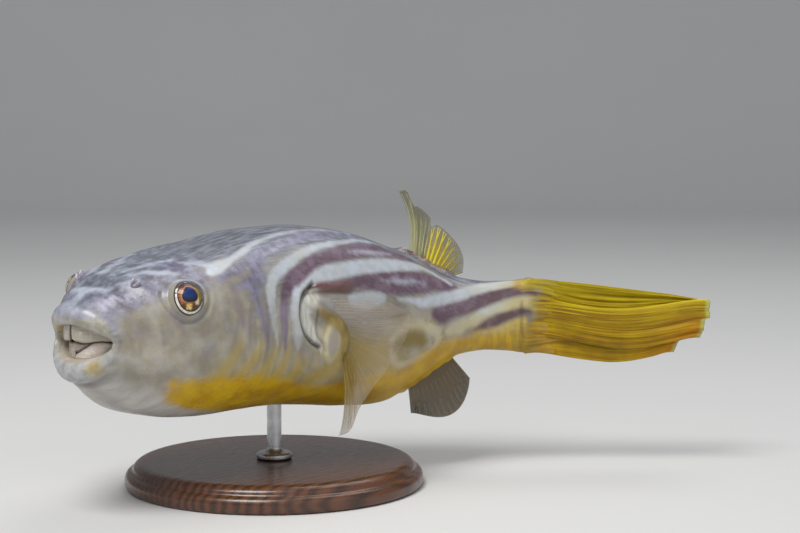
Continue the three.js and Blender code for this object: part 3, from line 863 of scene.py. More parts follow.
def sink_sockets(points):
    """Folds of skin round each eye and the socket behind the eyeball, with painted shade and
    highlight.
    """
    points = points.copy()
    socket = np.zeros(points.shape[:-1])
    lid = np.zeros(points.shape[:-1])
    for side in (1, -1):
        centre, look = eye_frame(side)
        away = points - centre
        depth = away @ look
        ring = np.linalg.norm(away - depth[..., None] * look, axis=-1)
        here = (depth > -2) & (ring < 24)
        upwards = away[..., 2] / np.maximum(ring, 1)
        low = 0.35 + 0.65 * smooth(0.5, -0.7, upwards)
        rim = 1.0 * bell(ring - 9.4, 1.5) - 0.75 * low * bell(ring - 12.2, 1.1)
        rim += 0.45 * low * bell(ring - 14.4, 1.6)
        pit = -11 * smooth(EYE_OPENING + 0.35, EYE_OPENING - 1.4, ring)
        points += look * np.where(here, rim + pit, 0)[..., None]
        # painted shade: under the lower fold and at the edge of the opening
        dark = 0.5 * low * bell(ring - 12.2, 1.0)
        dark += smooth(EYE_OPENING + 0.7, EYE_OPENING, ring)
        socket = np.maximum(socket, np.where(here, np.clip(dark, 0, 1), 0))
        # painted highlight on the skin along the upper rim of the eye
        edge = bell(ring - 9.6, 1.0) * smooth(0.2, 0.8, upwards)
        lid = np.maximum(lid, np.where(here, edge, 0))
    return points, socket, lid


def skin_finish():
    """Wet, mottled skin: ground colours first, then bands, stripes, yellow and fine parts."""
    f = Finish("pufferfish skin")
    painted, step, times, two, layers = f.painted, f.step, f.times, f.two, f.layers
    place, lie = f.place(), f.lie()
    broad = f.noise(place, 75.0, 4.0)
    patchy = f.noise(place, 170.0, 4.0, 0.55)
    ragged = f.noise(place, 300.0, 4.0, 0.6)
    fine = f.noise(place, 900.0, 3.0, 0.6)
    streaky = f.noise(f.stretch(lie, (70.0, 480.0, 1.0)), 1.0)
    swept = f.noise(f.stretch(lie, (260.0, 70.0, 1.0)), 1.0)
    along = painted("along")

    def mark(name, uneven, low, high, source=patchy):
        """1 on a painted mark and 0 beside it, with an uneven edge."""
        return step(f.wobble(painted(name), uneven, source), low, high)

    def twice_uneven(name, uneven):
        edge = f.wobble(f.wobble(painted(name), uneven, patchy), 1.2, ragged)
        return step(edge, -1.6, 1.8)

    def patches(name, strength, low, high, first, second, source=patchy):
        """A layer of two colours over the place that is painted with a name."""
        return painted(name), strength, two(source, low, high, first, second)

    # ground colours: cheeks and flank, and the back
    cheek = layers(
        two(broad, 0.35, 0.68, (138, 131, 117), (168, 162, 149)),
        (step(swept, 0.5, 0.8), 0.4, (142, 133, 132)),
        (step(patchy, 0.5, 0.3), 0.4, (156, 146, 112)))
    smooth_back = layers(
        two(patchy, 0.36, 0.66, (76, 86, 100), (118, 127, 140)),
        (step(streaky, 0.5, 0.8), 0.4, (150, 158, 168)))
    lined_back = two(streaky, 0.38, 0.62, (76, 80, 92), (118, 123, 134))
    backing = f.blend(painted("head"), lined_back, smooth_back)
    colour = f.blend(f.wobble(painted("back"), 0.7, patchy), cheek, backing)

    # tints and dark bands
    brow = two(patchy, 0.36, 0.64, (98, 93, 110), (142, 142, 155))
    lavender = layers(
        two(patchy, 0.36, 0.62, (84, 78, 106), (122, 119, 146)),
        (step(swept, 0.42, 0.62), 0.45, (132, 130, 152)))
    dark = layers(
        two(patchy, 0.34, 0.66, (88, 66, 80), (112, 92, 110)),
        (step(streaky, 0.52, 0.36), 0.3, (72, 50, 62)),
        (step(patchy, 0.5, 0.7), 0.5, (104, 72, 82)),
        (step(along, -0.5, -0.12), 0.55, (78, 50, 46)),
        (painted("faded"), 0.6, (134, 126, 142)))
    colour = layers(
        colour,
        (f.wobble(painted("brow"), 0.5, patchy), 0.85, brow),
        (mark("lavender", 8.0, -3.4, 4.0), 0.85, lavender),
        (mark("streak", 2.0, -2.2, 2.0, ragged), 0.45, (112, 98, 112)),
        (times(painted("tinge"), step(swept, 0.4, 0.7)), 0.5, (190, 172, 104)),
        (mark("ring_ground", 6.0, -6.0, 4.0), 0.75,
         two(patchy, 0.4, 0.6, (150, 136, 96), (172, 163, 140))),
        (mark("wash", 4.0, -5.0, 4.0), 0.7, (180, 154, 60)),
        (twice_uneven("dark", 2.4), 0.93, dark),
        # reddish-brown tint with painted shade under the gill fold
        (painted("fold_tint_and_shade"), 0.8, (108, 64, 50)))

    # pale stripes, the ring and the throat
    tail_root = times(step(along, -0.22, -0.03), step(patchy, 0.2, 0.5))
    pale = layers(
        two(patchy, 0.3, 0.7, (172, 178, 186), (194, 201, 211)),
        (step(broad, 0.56, 0.36), 0.5, (184, 183, 170)),
        (step(along, -0.5, -0.1), 0.5, (200, 194, 150)),
        (painted("low"), 0.75, (186, 174, 128)),
        (tail_root, 0.9, (200, 176, 66)),
        (painted("back"), 0.6, (156, 161, 170)))
    strength = f.minus(0.9, times(painted("faded"), 0.35))
    frost = times(mark("frost", 6.0, -2.6, 3.0), step(painted("head"), -1.4, 0.6))
    colour = layers(
        colour,
        (twice_uneven("pale", 2.2), strength, pale),
        (frost, 0.8, (180, 186, 200)),
        (mark("ring", 2.4, -2.2, 1.2), 0.8, (190, 180, 150)),
        (mark("olive", 3.0, -3.2, 2.2), 0.9, (124, 106, 42)),
        patches("under", 0.85, 0.35, 0.75, (190, 186, 180), (170, 164, 163), swept))

    # yellow belly, which runs out over the tail fin
    rear = times(step(along, -0.5, -0.3), step(swept, 0.42, 0.6))
    gold = layers(
        two(broad, 0.3, 0.7, (178, 134, 0), (204, 166, 2)),
        (step(patchy, 0.5, 0.75), 0.35, (160, 114, 0)),
        (rear, 0.5, (150, 126, 24)))
    tail, _, spread = tail_colour(f)
    gold = f.blend(step(along, -0.12, 0.03), gold, tail)
    edge = f.wobble(f.wobble(painted("yellow"), 5.0, patchy), 5.0, swept)
    ends = step(along, -0.05, 0.0)
    edge = f.plus(edge, times(f.minus(spread, 0.5), times(ends, 16.0)))
    yellow = step(edge, -4.0, 4.2)

    # roots of the fins, lips and mouth
    lobe = f.wobble(painted("lobe"), 2.0, patchy)
    colour = layers(
        colour,
        (yellow, 0.97, gold),
        patches("gill", 0.85, 0.4, 0.6, (186, 185, 172), (214, 214, 206), swept),
        (step(lobe, 8.0, 5.6), 0.6, (206, 200, 166)),
        (step(lobe, 5.4, 3.2), 0.6, (150, 140, 142)),
        patches("fin_root", 0.8, 0.35, 0.6, (116, 92, 10), (148, 124, 28)),
        patches("mound", 0.9, 0.42, 0.58, (104, 66, 70), (176, 160, 156), ragged),
        patches("lip_above", 0.8, 0.38, 0.62, (134, 136, 148), (160, 162, 174)),
        patches("lip_below", 0.8, 0.38, 0.62, (148, 150, 151), (178, 182, 184)),
        patches("inner_lip", 0.8, 0.4, 0.6, (158, 152, 130), (176, 172, 160)),
        (mark("gleam", 2.0, -1.8, 1.6), 0.5, (194, 190, 206)),
        (painted("stain"), 0.6, (176, 150, 62)),
        # painted highlight over the upper rim of each eye
        (f.wobble(painted("lid"), 0.6, patchy), 0.6, (168, 174, 196)),
        patches("inside", 0.85, 0.4, 0.6, (172, 158, 140), (188, 178, 162)),
        (painted("ochre"), 0.5, (168, 144, 84)))
    # painted shade deep in the mouth
    colour = f.blend(painted("throat"), colour, (96, 68, 48))
    colour = layers(
        colour,
        # painted shade in the creases, the gill slit and round the eyes
        (painted("crease_shade"), 0.72, (48, 36, 34)),
        (step(fine, 0.62, 0.75), 0.10, (80, 70, 76)))

    pores = f.node("ShaderNodeTexVoronoi", {"Vector": place, "Scale": 700.0})
    height = f.plus(times(pores.outputs["Distance"], 0.5), times(fine, 0.5))
    height = f.plus(height, times(patchy, 1.2))
    f.set(Base_Color=colour, Roughness=step(ragged, -0.6, 1.7), IOR=1.4,
          Normal=f.bump(height, 0.3, 0.0006), Coat_Weight=f.minus(0.38, times(yellow, 0.2)),
          Coat_Roughness=0.24, Subsurface_Weight=0.06, Subsurface_Scale=0.5,
          Subsurface_Radius=(0.006, 0.003, 0.002))
    return f.material


# ------------------------------------------------------------------ eyes
GAZE = (-0.323, -0.875, 0.360)  # forwards, to the fish's own side and up a little
CORNEA_BULGE = 0.35
CORNEA_SPREAD = 0.55            # radians from the middle of the pupil


def make_eye(name, side, material):
    """An eyeball whose front bulges a little where the clear window lies over the iris."""
    centre = eye_frame(side)[0]
    look = np.array([GAZE[0], side * GAZE[1], GAZE[2]])
    forward = np.array([-1.0, 0.0, 0.0])
    up = unit(np.array([0.0, 0.0, 1.0]) - look[2] * look)
    across = np.cross(up, look)
    if across @ forward < 0:
        across = -across
    rows, columns = 72, 96
    tilt = np.linspace(0, np.pi, rows + 2)[1:-1]
    turn = np.linspace(0, 2 * np.pi, columns, endpoint=False)
    t, w = np.meshgrid(tilt, turn, indexing="ij")
    reach = EYE_RADIUS + CORNEA_BULGE * bell(t, CORNEA_SPREAD)
    x = reach * np.sin(t) * np.cos(w)
    y = reach * np.sin(t) * np.sin(w)
    z = reach * np.cos(t)
    grid = centre + x[..., None] * across + y[..., None] * up + z[..., None] * look
    poles = centre + np.array([[reach[0, 0]], [-EYE_RADIUS]]) * look
    points = np.concatenate([grid.reshape(-1, 3), poles])
    faces = tube_faces(rows, columns)
    front, rear = rows * columns, rows * columns + 1
    last = (rows - 1) * columns
    for k in range(columns):
        faces.append((front, (k + 1) % columns, k))
        faces.append((rear, last + k, last + (k + 1) % columns))
    eye = new_piece(name, points, facing_outwards(points, faces), material)
    paint(eye, "forward", np.concatenate([x.ravel(), [0, 0]]))
    paint(eye, "upward", np.concatenate([y.ravel(), [0, 0]]))
    paint(eye, "behind", np.concatenate([(z < 0).ravel(), [0, 1]]))
    return eye


def eye_finish():
    """Coppery iris round a blue pupil of three soft corners, inside a silver ring."""
    f = Finish("pufferfish eye")
    step, times, minus, two, layers = f.step, f.times, f.minus, f.two, f.layers
    forward = f.painted("forward")
    upward = f.painted("upward")

    def spot(x, y, wide, high, soft):
        """1 inside an upright oblong at x, y; 0 outside."""
        over = f.math("ABSOLUTE", minus(forward, x))
        beside = f.math("ABSOLUTE", minus(upward, y))
        return times(step(over, wide + soft, wide - soft), step(beside, high + soft, high - soft))

    def length(a, b):
        return f.math("SQRT", f.plus(times(a, a), times(b, b)))

    ring = length(f.math("DIVIDE", f.plus(forward, 0.5), 0.90), minus(upward, 0.0))
    from_pupil = length(forward, minus(upward, 0.5))
    angle = f.math("ARCTAN2", minus(upward, 0.5), forward)
    three_cornered = f.math("SINE", times(angle, -3.0))
    beyond = minus(from_pupil, f.plus(times(three_cornered, 0.3), 3.9))
    spokes = f.node("ShaderNodeCombineXYZ", {"X": angle, "Y": times(ring, 0.12)}).outputs[0]
    threads = f.noise(spokes, 9.0, 5.0, 0.6)
    flecks = f.noise(f.place(), 900.0, 3.0, 0.6)

    iris = f.blend(step(forward, 0.6, -3.6),
                   two(threads, 0.35, 0.65, (84, 44, 30), (176, 112, 78)),
                   two(threads, 0.35, 0.65, (92, 78, 24), (158, 138, 60)))
    iris = two(upward, -2.6, -4.6, iris, (92, 52, 22))
    iris = two(flecks, 0.62, 0.74, iris, (60, 28, 14))
    # painted shade under the upper rim: the top of the iris dark
    iris = layers(iris, (step(upward, 3.6, 5.6), 0.85, (52, 26, 36)))
    iris = f.blend(spot(0.9, -5.3, 1.4, 1.3, 0.7), iris,
                   two(threads, 0.4, 0.6, (196, 150, 62), (244, 220, 140)))
    iris = layers(iris, (spot(-3.6, -2.6, 1.1, 1.8, 0.6), 0.8, (236, 226, 190)))

    blue = two(upward, -2.4, -0.4, (28, 26, 18), (2, 44, 92))
    blue = f.blend(times(step(upward, 0.6, 2.4), step(forward, 0.8, -1.2)), blue, (38, 16, 108))
    rim = times(times(step(beyond, -0.1, 0.3), step(beyond, 1.2, 0.5)),
                step(upward, -4.5, -2.0))
    shade = times(step(beyond, -0.9, 0.0), step(beyond, 0.5, 0.1))
    colour = layers(
        two(beyond, -0.18, 0.18, blue, iris),
        (rim, 0.5, (204, 148, 112)), (shade, 0.8, (30, 18, 16)))
    black = times(step(ring, 6.9, 7.15), step(ring, 7.65, 7.4))
    colour = f.blend(black, colour, (22, 16, 14))
    silver = two(flecks, 0.4, 0.62, (196, 192, 178), (236, 236, 228))
    lit = f.wobble(minus(times(forward, 0.5), upward), 44.0, f.noise(spokes, 3.0, 2.0))
    silver = two(lit, -3.5, 1.5, (92, 82, 84), silver)
    colour = two(ring, 7.4, 7.65, colour, silver)
    colour = two(ring, 8.35, 8.5, colour, (60, 50, 44))
    colour = two(ring, 8.8, 9.2, colour, (150, 144, 130))
    colour = f.blend(f.painted("behind"), colour, (52, 44, 40))
    f.set(Base_Color=colour, Roughness=0.45, IOR=1.3, Coat_Weight=0.55, Coat_Roughness=0.02,
          Coat_IOR=1.4)
    return f.material


# ------------------------------------------------------------------ beak and nostrils
BEAK_THICK = 3.2
BEAK_HALF_WIDTH = 16.4
BEAK_HEIGHT = 10.4
BITE_BELOW_AXIS = 0.3


def make_beak_plate(name, side, up, material):
    """One of the four tooth plates; `up` is 1 in the upper jaw and -1 in the lower."""
    upper = up > 0
    near_lower = not upper and side > 0
    steps = 48
    loops = []
    fields = {"from_seam": [], "from_bite": [], "groove_shade": [], "ledge": []}
    for i in range(steps + 1):
        share = i / steps

        def fading(width):
            return math.exp(-(share / width) ** 2)

        out = mix(0.22 if upper else 0.08, BEAK_HALF_WIDTH + 1.2, share)
        height = mix(BEAK_HEIGHT, 3.2, share ** 3)
        front = 2.6 + 13 * share * share + (0 if upper else 3.4)
        bite = 0.3 + 0.45 * math.sin(share * 9 + up) * min(1, share * 3)
        worn_to = 5.4 * fading(0.3) if near_lower else 0
        inner = fading(0.045) if upper else 0
        notch = 0.9 * fading(0.09) if upper else 0
        # a section of the plate: up its outer face, down its inner one, round the biting edge
        profile = []
        for v in np.linspace(0, 1, 41):
            z = mix(bite + notch, height, v)
            bulge = 0.5 * math.sin(math.pi * min(1, 0.12 + 0.88 * v))
            edge = 0.9 * math.exp(-(v / 0.05) ** 2) + 0.9 * math.exp(-((1 - v) / 0.1) ** 2)
            wave = 0.06 * math.sin(v * 30 + 1.5 * math.sin(share * 8))
            step = 0.9 * min(1, worn_to) * math.exp(-((z - bite - worn_to) / 0.8) ** 2)
            profile.append((front + 0.9 - bulge + edge + 0.5 * inner + wave + step, z))
        for v in np.linspace(1, 0, 8):
            profile.append((front + BEAK_THICK, mix(bite + 0.8, height - 0.2, v)))
        profile.append((front + BEAK_THICK - 0.8, bite + 0.3 + notch))
        u, z = np.array(profile).T
        over = z - bite
        to_side = out + 0.6 * inner * np.maximum(0, 1 - over / 9)
        loops.append(np.stack([u - ROD_BEHIND_LIPS, ROD_TO_LEFT - side * to_side,
                               AXIS_HEIGHT + up * z - BITE_BELOW_AXIS], -1))
        hidden = 0.8 * fading(0.35) if not upper and side < 0 else 0
        fields["from_seam"].append(0 * z + (share if upper else max(share, 0.1)))
        fields["from_bite"].append(over / (height - bite + 0.01))
        fields["groove_shade"].append(bell((over - worn_to) / 0.75, 1) * min(1, worn_to))
        fields["ledge"].append(hidden + smooth(0.2, -0.4, over - worn_to) * min(1, worn_to))
    plate = closed_loft(name, np.array(loops), material)
    # a duller tone, most on the upper plates and some on the far lower plate
    fields["plate_tone"] = np.full(len(plate.data.vertices), 0.95 if upper else 0.3 * (1 - side))
    for field, values in fields.items():
        paint(plate, field, values)
    return plate


def beak_finish():
    """Ivory enamel, stained at the bite, with painted shade along the seam and in the groove, and
    duller on some plates.
    """
    f = Finish("beak enamel")
    place = f.place()
    cloud = f.noise(place, 240.0, 4.0, 0.6)
    growth = f.noise(f.stretch(place, (300.0, 300.0, 2400.0)), 1.0)
    seam = f.painted("from_seam")
    rise = f.painted("from_bite")
    colour = f.two(growth, 0.35, 0.65, (206, 198, 188), (226, 220, 212))
    colour = f.layers(
        f.two(cloud, 0.45, 0.75, colour, (206, 186, 174)),
        (f.step(rise, 0.12, 0.0), 0.5, (150, 112, 84)),
        (f.step(rise, 0.45, 0.85), 0.5, (170, 160, 142)),
        (f.step(seam, 0.6, 1.0), 0.4, (160, 138, 112)),
        (f.painted("plate_tone"), f.step(cloud, 0.1, 0.5), (166, 158, 144)),
        # painted shade along the seam between the two plates
        (f.step(seam, 0.05, 0.0), 0.75, (92, 74, 52)),
        (f.painted("ledge"), 0.8, f.two(cloud, 0.35, 0.65, (150, 128, 112), (174, 158, 146))))
    # painted shade in the groove along the step of the near lower plate
    colour = f.blend(f.painted("groove_shade"), colour, (70, 42, 24))
    f.set(Base_Color=colour, Roughness=f.step(cloud, -0.4, 2.2),
          Normal=f.bump(growth, 0.25, 0.0004), Coat_Weight=0.4, Coat_Roughness=0.18,
          Subsurface_Weight=0.12, Subsurface_Scale=0.3, Subsurface_Radius=(0.004, 0.003, 0.002))
    return f.material


FLAP_BEHIND_LIPS = 24.0
FLAP_ROUND = {1: math.radians(28), -1: math.radians(-22)}
FLAP_HEIGHT = 4.6


def make_nasal_flap(name, side, material):
    """A fleshy foot from which two rounded leaves stand apart, with the nostril between them."""
    foot = body_point(FLAP_BEHIND_LIPS, FLAP_ROUND[side], -1.2)
    out = unit(body_point(FLAP_BEHIND_LIPS, FLAP_ROUND[side], 4.0) - foot)
    backwards = np.array([1.0, 0.0, 0.0])
    along = unit(backwards - (backwards @ out) * out)
    down = side * np.cross(out, along)
    down *= -np.sign(down[2])
    points, faces = [], []
    rows, columns = 26, 36
    turn = np.linspace(0, 2 * math.pi, columns, endpoint=False)
    for apart in (1, -1):
        first = len(points)
        spread = math.radians(34) * apart
        rise = out * math.cos(spread) + down * math.sin(spread)
        flat = down * math.cos(spread) - out * math.sin(spread)
        for share in np.linspace(0, 1, rows):
            wide = 1.25 + 0.95 * math.sin(math.pi * min(1, share * 1.05 + 0.1)) ** 1.2
            thick = 0.9 - 0.25 * share
            end = math.sqrt(max(1 - max(share - 0.62, 0) ** 2 / 0.145, 0.012))
            x = (wide * end * np.cos(turn))[:, None]
            y = (thick * end * np.sin(turn))[:, None]
            bowed = (0.10 * x * x + 0.9 * share * share) * apart
            points.extend(foot + rise * (share * (FLAP_HEIGHT + 0.9))
                          + along * (x + 0.5 * share) + flat * (y - bowed))
        faces += facing_outwards(points, loft_faces(rows, columns, first))
    return new_piece(name, points, faces, material)


def flap_finish():
    f = Finish("nostril flap skin")
    spots = f.noise(f.place(), 420.0, 4.0, 0.6)
    f.set(Base_Color=f.two(spots, 0.40, 0.60, (138, 130, 146), (184, 180, 190)),
          Roughness=f.step(spots, -0.5, 1.9), Normal=f.bump(spots, 0.3, 0.0005),
          Coat_Weight=0.35, Coat_Roughness=0.2, Subsurface_Weight=0.1, Subsurface_Scale=0.3)
    return f.material


# ------------------------------------------------------------------ fins
ROOT_DEPTH = 3.0                # how far a fin's root reaches into the body
RAY_STEPS = 26
RAY_SIDES = 6
RAY_ENDS = 0.992                # a little inside the web's edge
# the pectoral fin's rays from the uppermost to the lowest: how steeply they fall (degrees)
# and how long they are
PECTORAL_RAYS = np.array([(0, -3, 46), (0.2, 1, 48), (0.4, 5, 44), (0.55, 14, 37),
                          (0.65, 34, 29), (0.73, 58, 27), (0.80, 74, 29), (0.87, 84, 34),
                          (0.93, 89, 42.5), (1, 95, 43.5)], float)
# the dorsal fin's rays from the foremost to the hindmost: how far back and how far up each
# reaches, and how far it bows backwards on its way
DORSAL_RAYS = np.array([
    (0, -5.2, 39.2, 4.3), (0.05, -4.1, 40.4, 4.2), (0.1, -2.6, 39.6, 3.6),
    (0.135, -1.6, 35.6, 2.8), (0.16, 0, 32.4, 2), (0.2, 1.3, 32.4, 1.4), (0.3, 4.4, 29.7, 0.4),
    (0.38, 5.6, 27.4, 0), (0.43, 4.9, 23.4, 0), (0.5, 7, 25, 0), (0.6, 8.9, 23.3, 0),
    (0.7, 10.8, 20, 0), (0.8, 12.1, 16.3, 0), (0.9, 12.6, 10.5, 0), (1, 10.6, 2.8, 0)])
DORSAL_ROOT = (222.0, 244.0)    # behind the lips
ANAL_ROOT = (222.0, 246.0)


def dorsal_ray(a, s):
    """The point at share s of the ray at share a of the fin, and the direction to its side."""
    root = mix(*DORSAL_ROOT, a)
    _, back, left = axis_at(root)
    backwards = curve(DORSAL_RAYS, a, 1) * s + curve(DORSAL_RAYS, a, 3) * 4 * s * (1 - s)
    sway = 2.0 * np.sin(9 * a + 0.6) * s * s
    point = body_point(root, 0 * a, -ROOT_DEPTH)
    point = point + back * backwards[..., None] + left * sway[..., None]
    point[..., 2] += curve(DORSAL_RAYS, a, 2) * s
    return point, left


def anal_ray(a, s):
    root = mix(*ANAL_ROOT, a)
    _, back, left = axis_at(root)
    lean = np.radians(8 + 32 * a)
    reach = s * (17 + 12.5 * np.sin(np.pi * a ** 1.3) + ROOT_DEPTH)
    sway = 2.4 * np.sin(7 * a - 1) * s * s
    point = body_point(root, 0 * a + np.pi, -ROOT_DEPTH)
    point = point + back * (reach * np.sin(lean))[..., None] + left * sway[..., None]
    point[..., 2] -= reach * np.cos(lean)
    return point, left


def pectoral_ray(side):
    roots = np.column_stack([np.linspace(0, 1, len(FIN_ROOT)), FIN_ROOT])

    def ray(a, s):
        root = curve(roots, a, 1)
        level = np.radians(curve(roots, a, 2))
        _, back, left = axis_at(root)
        held_in = 0.14 * smooth(0.75, 1, a) if side < 0 else 0
        reach = s * (curve(PECTORAL_RAYS, a, 2) * (1 - held_in) + ROOT_DEPTH)
        stand = ROOT_DEPTH * s + (3.5 + 6 * a) * s + 1.3 * np.sin(11 * a) * s * s
        fall = np.radians(curve(PECTORAL_RAYS, a, 1))
        fall = fall + np.radians(7) * np.sin(5 * a + 2 * s) * s
        point = body_point(root, side * level, -ROOT_DEPTH)
        point = point + back * (reach * np.cos(fall))[..., None]
        point = point + left * (side * stand)[..., None]
        point[..., 2] -= reach * np.sin(fall)
        return point, left * side
    return ray


def make_membrane(name, ray, across, along, thickness, material):
    """The web between a fin's rays: thin, closed at its edges, thicker at the root."""
    a, s = np.meshgrid(np.linspace(0, 1, across), np.linspace(0, 1, along))
    point, side = ray(a, s)
    thick = mix(*thickness, np.minimum(1, s * 3.0))
    half = side * (thick * rounded_off(a, 14) / 2)[..., None]
    piece = closed_sheet(name, point + half, point - half, material)
    paint(piece, "across", both_faces(a))
    paint(piece, "along", both_faces(s))
    return piece


def ray_tree(material):
    """Geometry Nodes that turn lines with a thickness into round, tapering fin rays."""
    tree = bpy.data.node_groups.new("fin rays", "GeometryNodeTree")
    for name, in_out, kind in (("Geometry", "INPUT", "Geometry"), ("Sides", "INPUT", "Int"),
                               ("Thickness", "INPUT", "Float"),
                               ("Geometry", "OUTPUT", "Geometry")):
        tree.interface.new_socket(name, in_out=in_out, socket_type="NodeSocket" + kind)

    def node(kind, **inputs):
        """A node; in the inputs' names an underscore stands for a space."""
        made = tree.nodes.new(kind)
        for key, value in inputs.items():
            socket = made.inputs[int(key[1:]) if key[1:].isdigit() else key.replace("_", " ")]
            if isinstance(value, bpy.types.NodeSocket):
                tree.links.new(value, socket)
            else:
                socket.default_value = value
        return made

    source = node("NodeGroupInput").outputs
    lines = node("GeometryNodeMeshToCurve", _0=source["Geometry"])
    stored = node("GeometryNodeInputNamedAttribute", Name="girth")
    stored.data_type = "FLOAT"
    girth = node("ShaderNodeMath", _0=stored.outputs["Attribute"], _1=source["Thickness"])
    girth.operation = "MULTIPLY"
    taper = node("GeometryNodeSetCurveRadius", Curve=lines.outputs[0], Radius=girth.outputs[0])
    circle = node("GeometryNodeCurvePrimitiveCircle", Radius=1.0, Resolution=source["Sides"])
    sweep = node("GeometryNodeCurveToMesh", Curve=taper.outputs[0],
                 Profile_Curve=circle.outputs[0], Fill_Caps=True)
    if "Scale" in sweep.inputs:
        tree.links.new(girth.outputs[0], sweep.inputs["Scale"])
    shaded = node("GeometryNodeSetShadeSmooth", _0=sweep.outputs[0])
    real = node("GeometryNodeRealizeInstances", _0=shaded.outputs[0])
    finish = node("GeometryNodeSetMaterial", _0=real.outputs[0], Material=material)
    node("NodeGroupOutput", _0=finish.outputs[0])
    return tree


def make_rays(name, ray, count, material, thickness, splits=(0.5, 0.78), strong=()):
    """Branching fin rays. Each forks twice on its way to the edge; `strong` rays are thicker."""
    points, edges, girth, along, across = [], [], [], [], []
    steps = np.linspace(0, 1, RAY_STEPS + 1)
    for i in range(count):
        middle = mix(0.012, 0.988, i / (count - 1))
        swell = 1.0 + sum(extra * math.exp(-((middle - at) / wide) ** 2)
                          for at, wide, extra in strong)
        unbranched = i in (0, count - 1)
        # the four branches: where each leaves the others, and the sides of its two forks
        for start, first, second in (((0, -1, -1),) if unbranched else
                                     ((0, -1, -1), (splits[1], -1, 1), (splits[0], 1, -1),
                                      (splits[1], 1, 1))):
            s = steps[(steps >= start - 1e-6) & (steps <= RAY_ENDS)]
            spread = first * 0.19 * smooth(splits[0], 1.0, s)
            spread = spread + second * 0.085 * smooth(splits[1], 1.0, s)
            a = np.clip(middle + (0 if unbranched else spread / (count - 1)), 0, 1) + 0 * s
            begin = len(points)
            points.extend(ray(a, s)[0] * MM)
            girth.extend(mix(1.0, 0.22, s ** 0.8) * swell)
            along.extend(s)
            across.extend(a)
            edges.extend((k, k + 1) for k in range(begin, len(points) - 1))
    mesh = bpy.data.meshes.new(name + " lines")
    mesh.from_pydata([tuple(p) for p in points], edges, [])
    lines = link_object(name + " lines", mesh)
    for field, values in (("girth", girth), ("along", along), ("across", across)):
        paint(lines, field, values)
    tree = ray_tree(material)
    modifier = lines.modifiers.new("rays", "NODES")
    modifier.node_group = tree
    inputs = {s.name: s.identifier for s in tree.interface.items_tree if s.in_out == "INPUT"}
    modifier[inputs["Sides"]] = RAY_SIDES
    modifier[inputs["Thickness"]] = thickness * MM / 2
    bpy.context.view_layer.update()
    ready = lines.evaluated_get(bpy.context.evaluated_depsgraph_get())
    solid = bpy.data.meshes.new_from_object(ready)
    solid.name = name
    piece = link_object(name, solid)
    bpy.data.objects.remove(lines)
    return piece


def along_fin(f, across, stops):
    """A colour, or a number, that changes from ray to ray: pairs of place and value."""
    made = f.node("ShaderNodeValToRGB", {"Fac": across})
    ramp = made.color_ramp
    while len(ramp.elements) < len(stops):
        ramp.elements.new(0.5)
    for element, (place, value) in zip(ramp.elements, stops):
        element.position = place
        element.color = srgb(*value) if isinstance(value, tuple) else (value, value, value, 1)
    return made.outputs["Color"]


def web_finish(name, colours, margin, cover, clear_edge, lines):
    """A thin wet web. Colour and cover change across the fin; the margin is clearer."""
    f = Finish(name)
    along = f.painted("along")
    across = f.painted("across")
    pattern = f.node("ShaderNodeCombineXYZ", {
        "X": f.times(across, lines), "Y": f.times(along, 1.2)})
    threads = f.noise(pattern.outputs["Vector"], 1.0, 5.0, 0.62)
    cloud = f.noise(f.place(), 160.0, 3.0)
    edge = f.plus(along, f.times(cloud, 0.3))
    colour = f.two(edge, 0.6, 1.1, along_fin(f, across, colours), margin)
    colour = f.cover(colour, f.step(threads, 0.6, 0.36), 0.25, (92, 78, 56))
    thin = f.node("ShaderNodeMapRange", {"Value": along, "From Min": 0.2, "From Max": 1.0,
                                         "To Min": 1.0, "To Max": clear_edge})
    alpha = f.times(along_fin(f, across, cover), thin.outputs["Result"])
    alpha = f.math("MAXIMUM", alpha, f.times(f.step(along, 0.14, 0.04), 0.95))
    alpha = f.plus(alpha, f.times(f.minus(threads, 0.5), 0.24), clamp=True)
    f.set(Base_Color=colour, Alpha=alpha, Roughness=0.3, Normal=f.bump(threads, 0.5, 0.0006),
          Coat_Weight=0.25, Coat_Roughness=0.2)
    return f.material


def ray_finish(name, colours, tip, fade):
    """Fin rays whose colour changes across the fin and towards their tips."""
    f = Finish(name)
    along = f.painted("along")
    joints = f.math("SINE", f.times(along, 190.0))
    colour = f.two(along, fade, 1.0, along_fin(f, f.painted("across"), colours), tip)
    colour = f.cover(colour, f.step(joints, 0.5, 0.95), 0.2, (110, 92, 60))
    f.set(Base_Color=colour, Roughness=0.35, Normal=f.bump(joints, 0.2, 0.0002),
          Coat_Weight=0.25, Coat_Roughness=0.2, Subsurface_Weight=0.15, Subsurface_Scale=0.2)
    return f.material


# ------------------------------------------------------------------ tail fin
def tail_fold(across, s):
    """The half furled fin in section: to the left and up, from its upper edge to its lower."""
    folded = smooth(0, 0.35, s)
    top = 17 - 12 * s ** 1.25
    middle_top = 5 - 5.6 * np.sin(np.pi * s) ** 2
    middle_foot = -15 - 1.5 * s - 7.4 * np.sin(np.pi * s ** 1.15) ** 2
    foot = middle_foot - 0.6 - 9.6 * (1 - 0.2 * smooth(0.2, 0.5, s) + 0.1 * smooth(0.55, 0.85, s))
    behind = -3.2 * folded
    before = 2 * folded
    # share of the way from the upper edge to the lower, height, how far to the left
    keys = np.array([
        (0, top, behind),
        (0.3, mix(middle_top + 3, middle_top - 2.5, folded), behind - 0.6 * folded),
        (0.4, middle_top - 0.2 * folded, before - 1.2 * folded),
        (0.6, mix(middle_top, middle_foot, 0.5), before + 1.2 * folded),
        (0.8, middle_foot, before - 1.2 * folded),
        (0.88, mix(middle_foot - 3, middle_foot + 2, folded), behind + 0.8 * folded),
        (1, min(foot, middle_foot - 0.3), behind + 0.4 * folded)], float)
    return curve(keys, across, 2), curve(keys, across, 1)


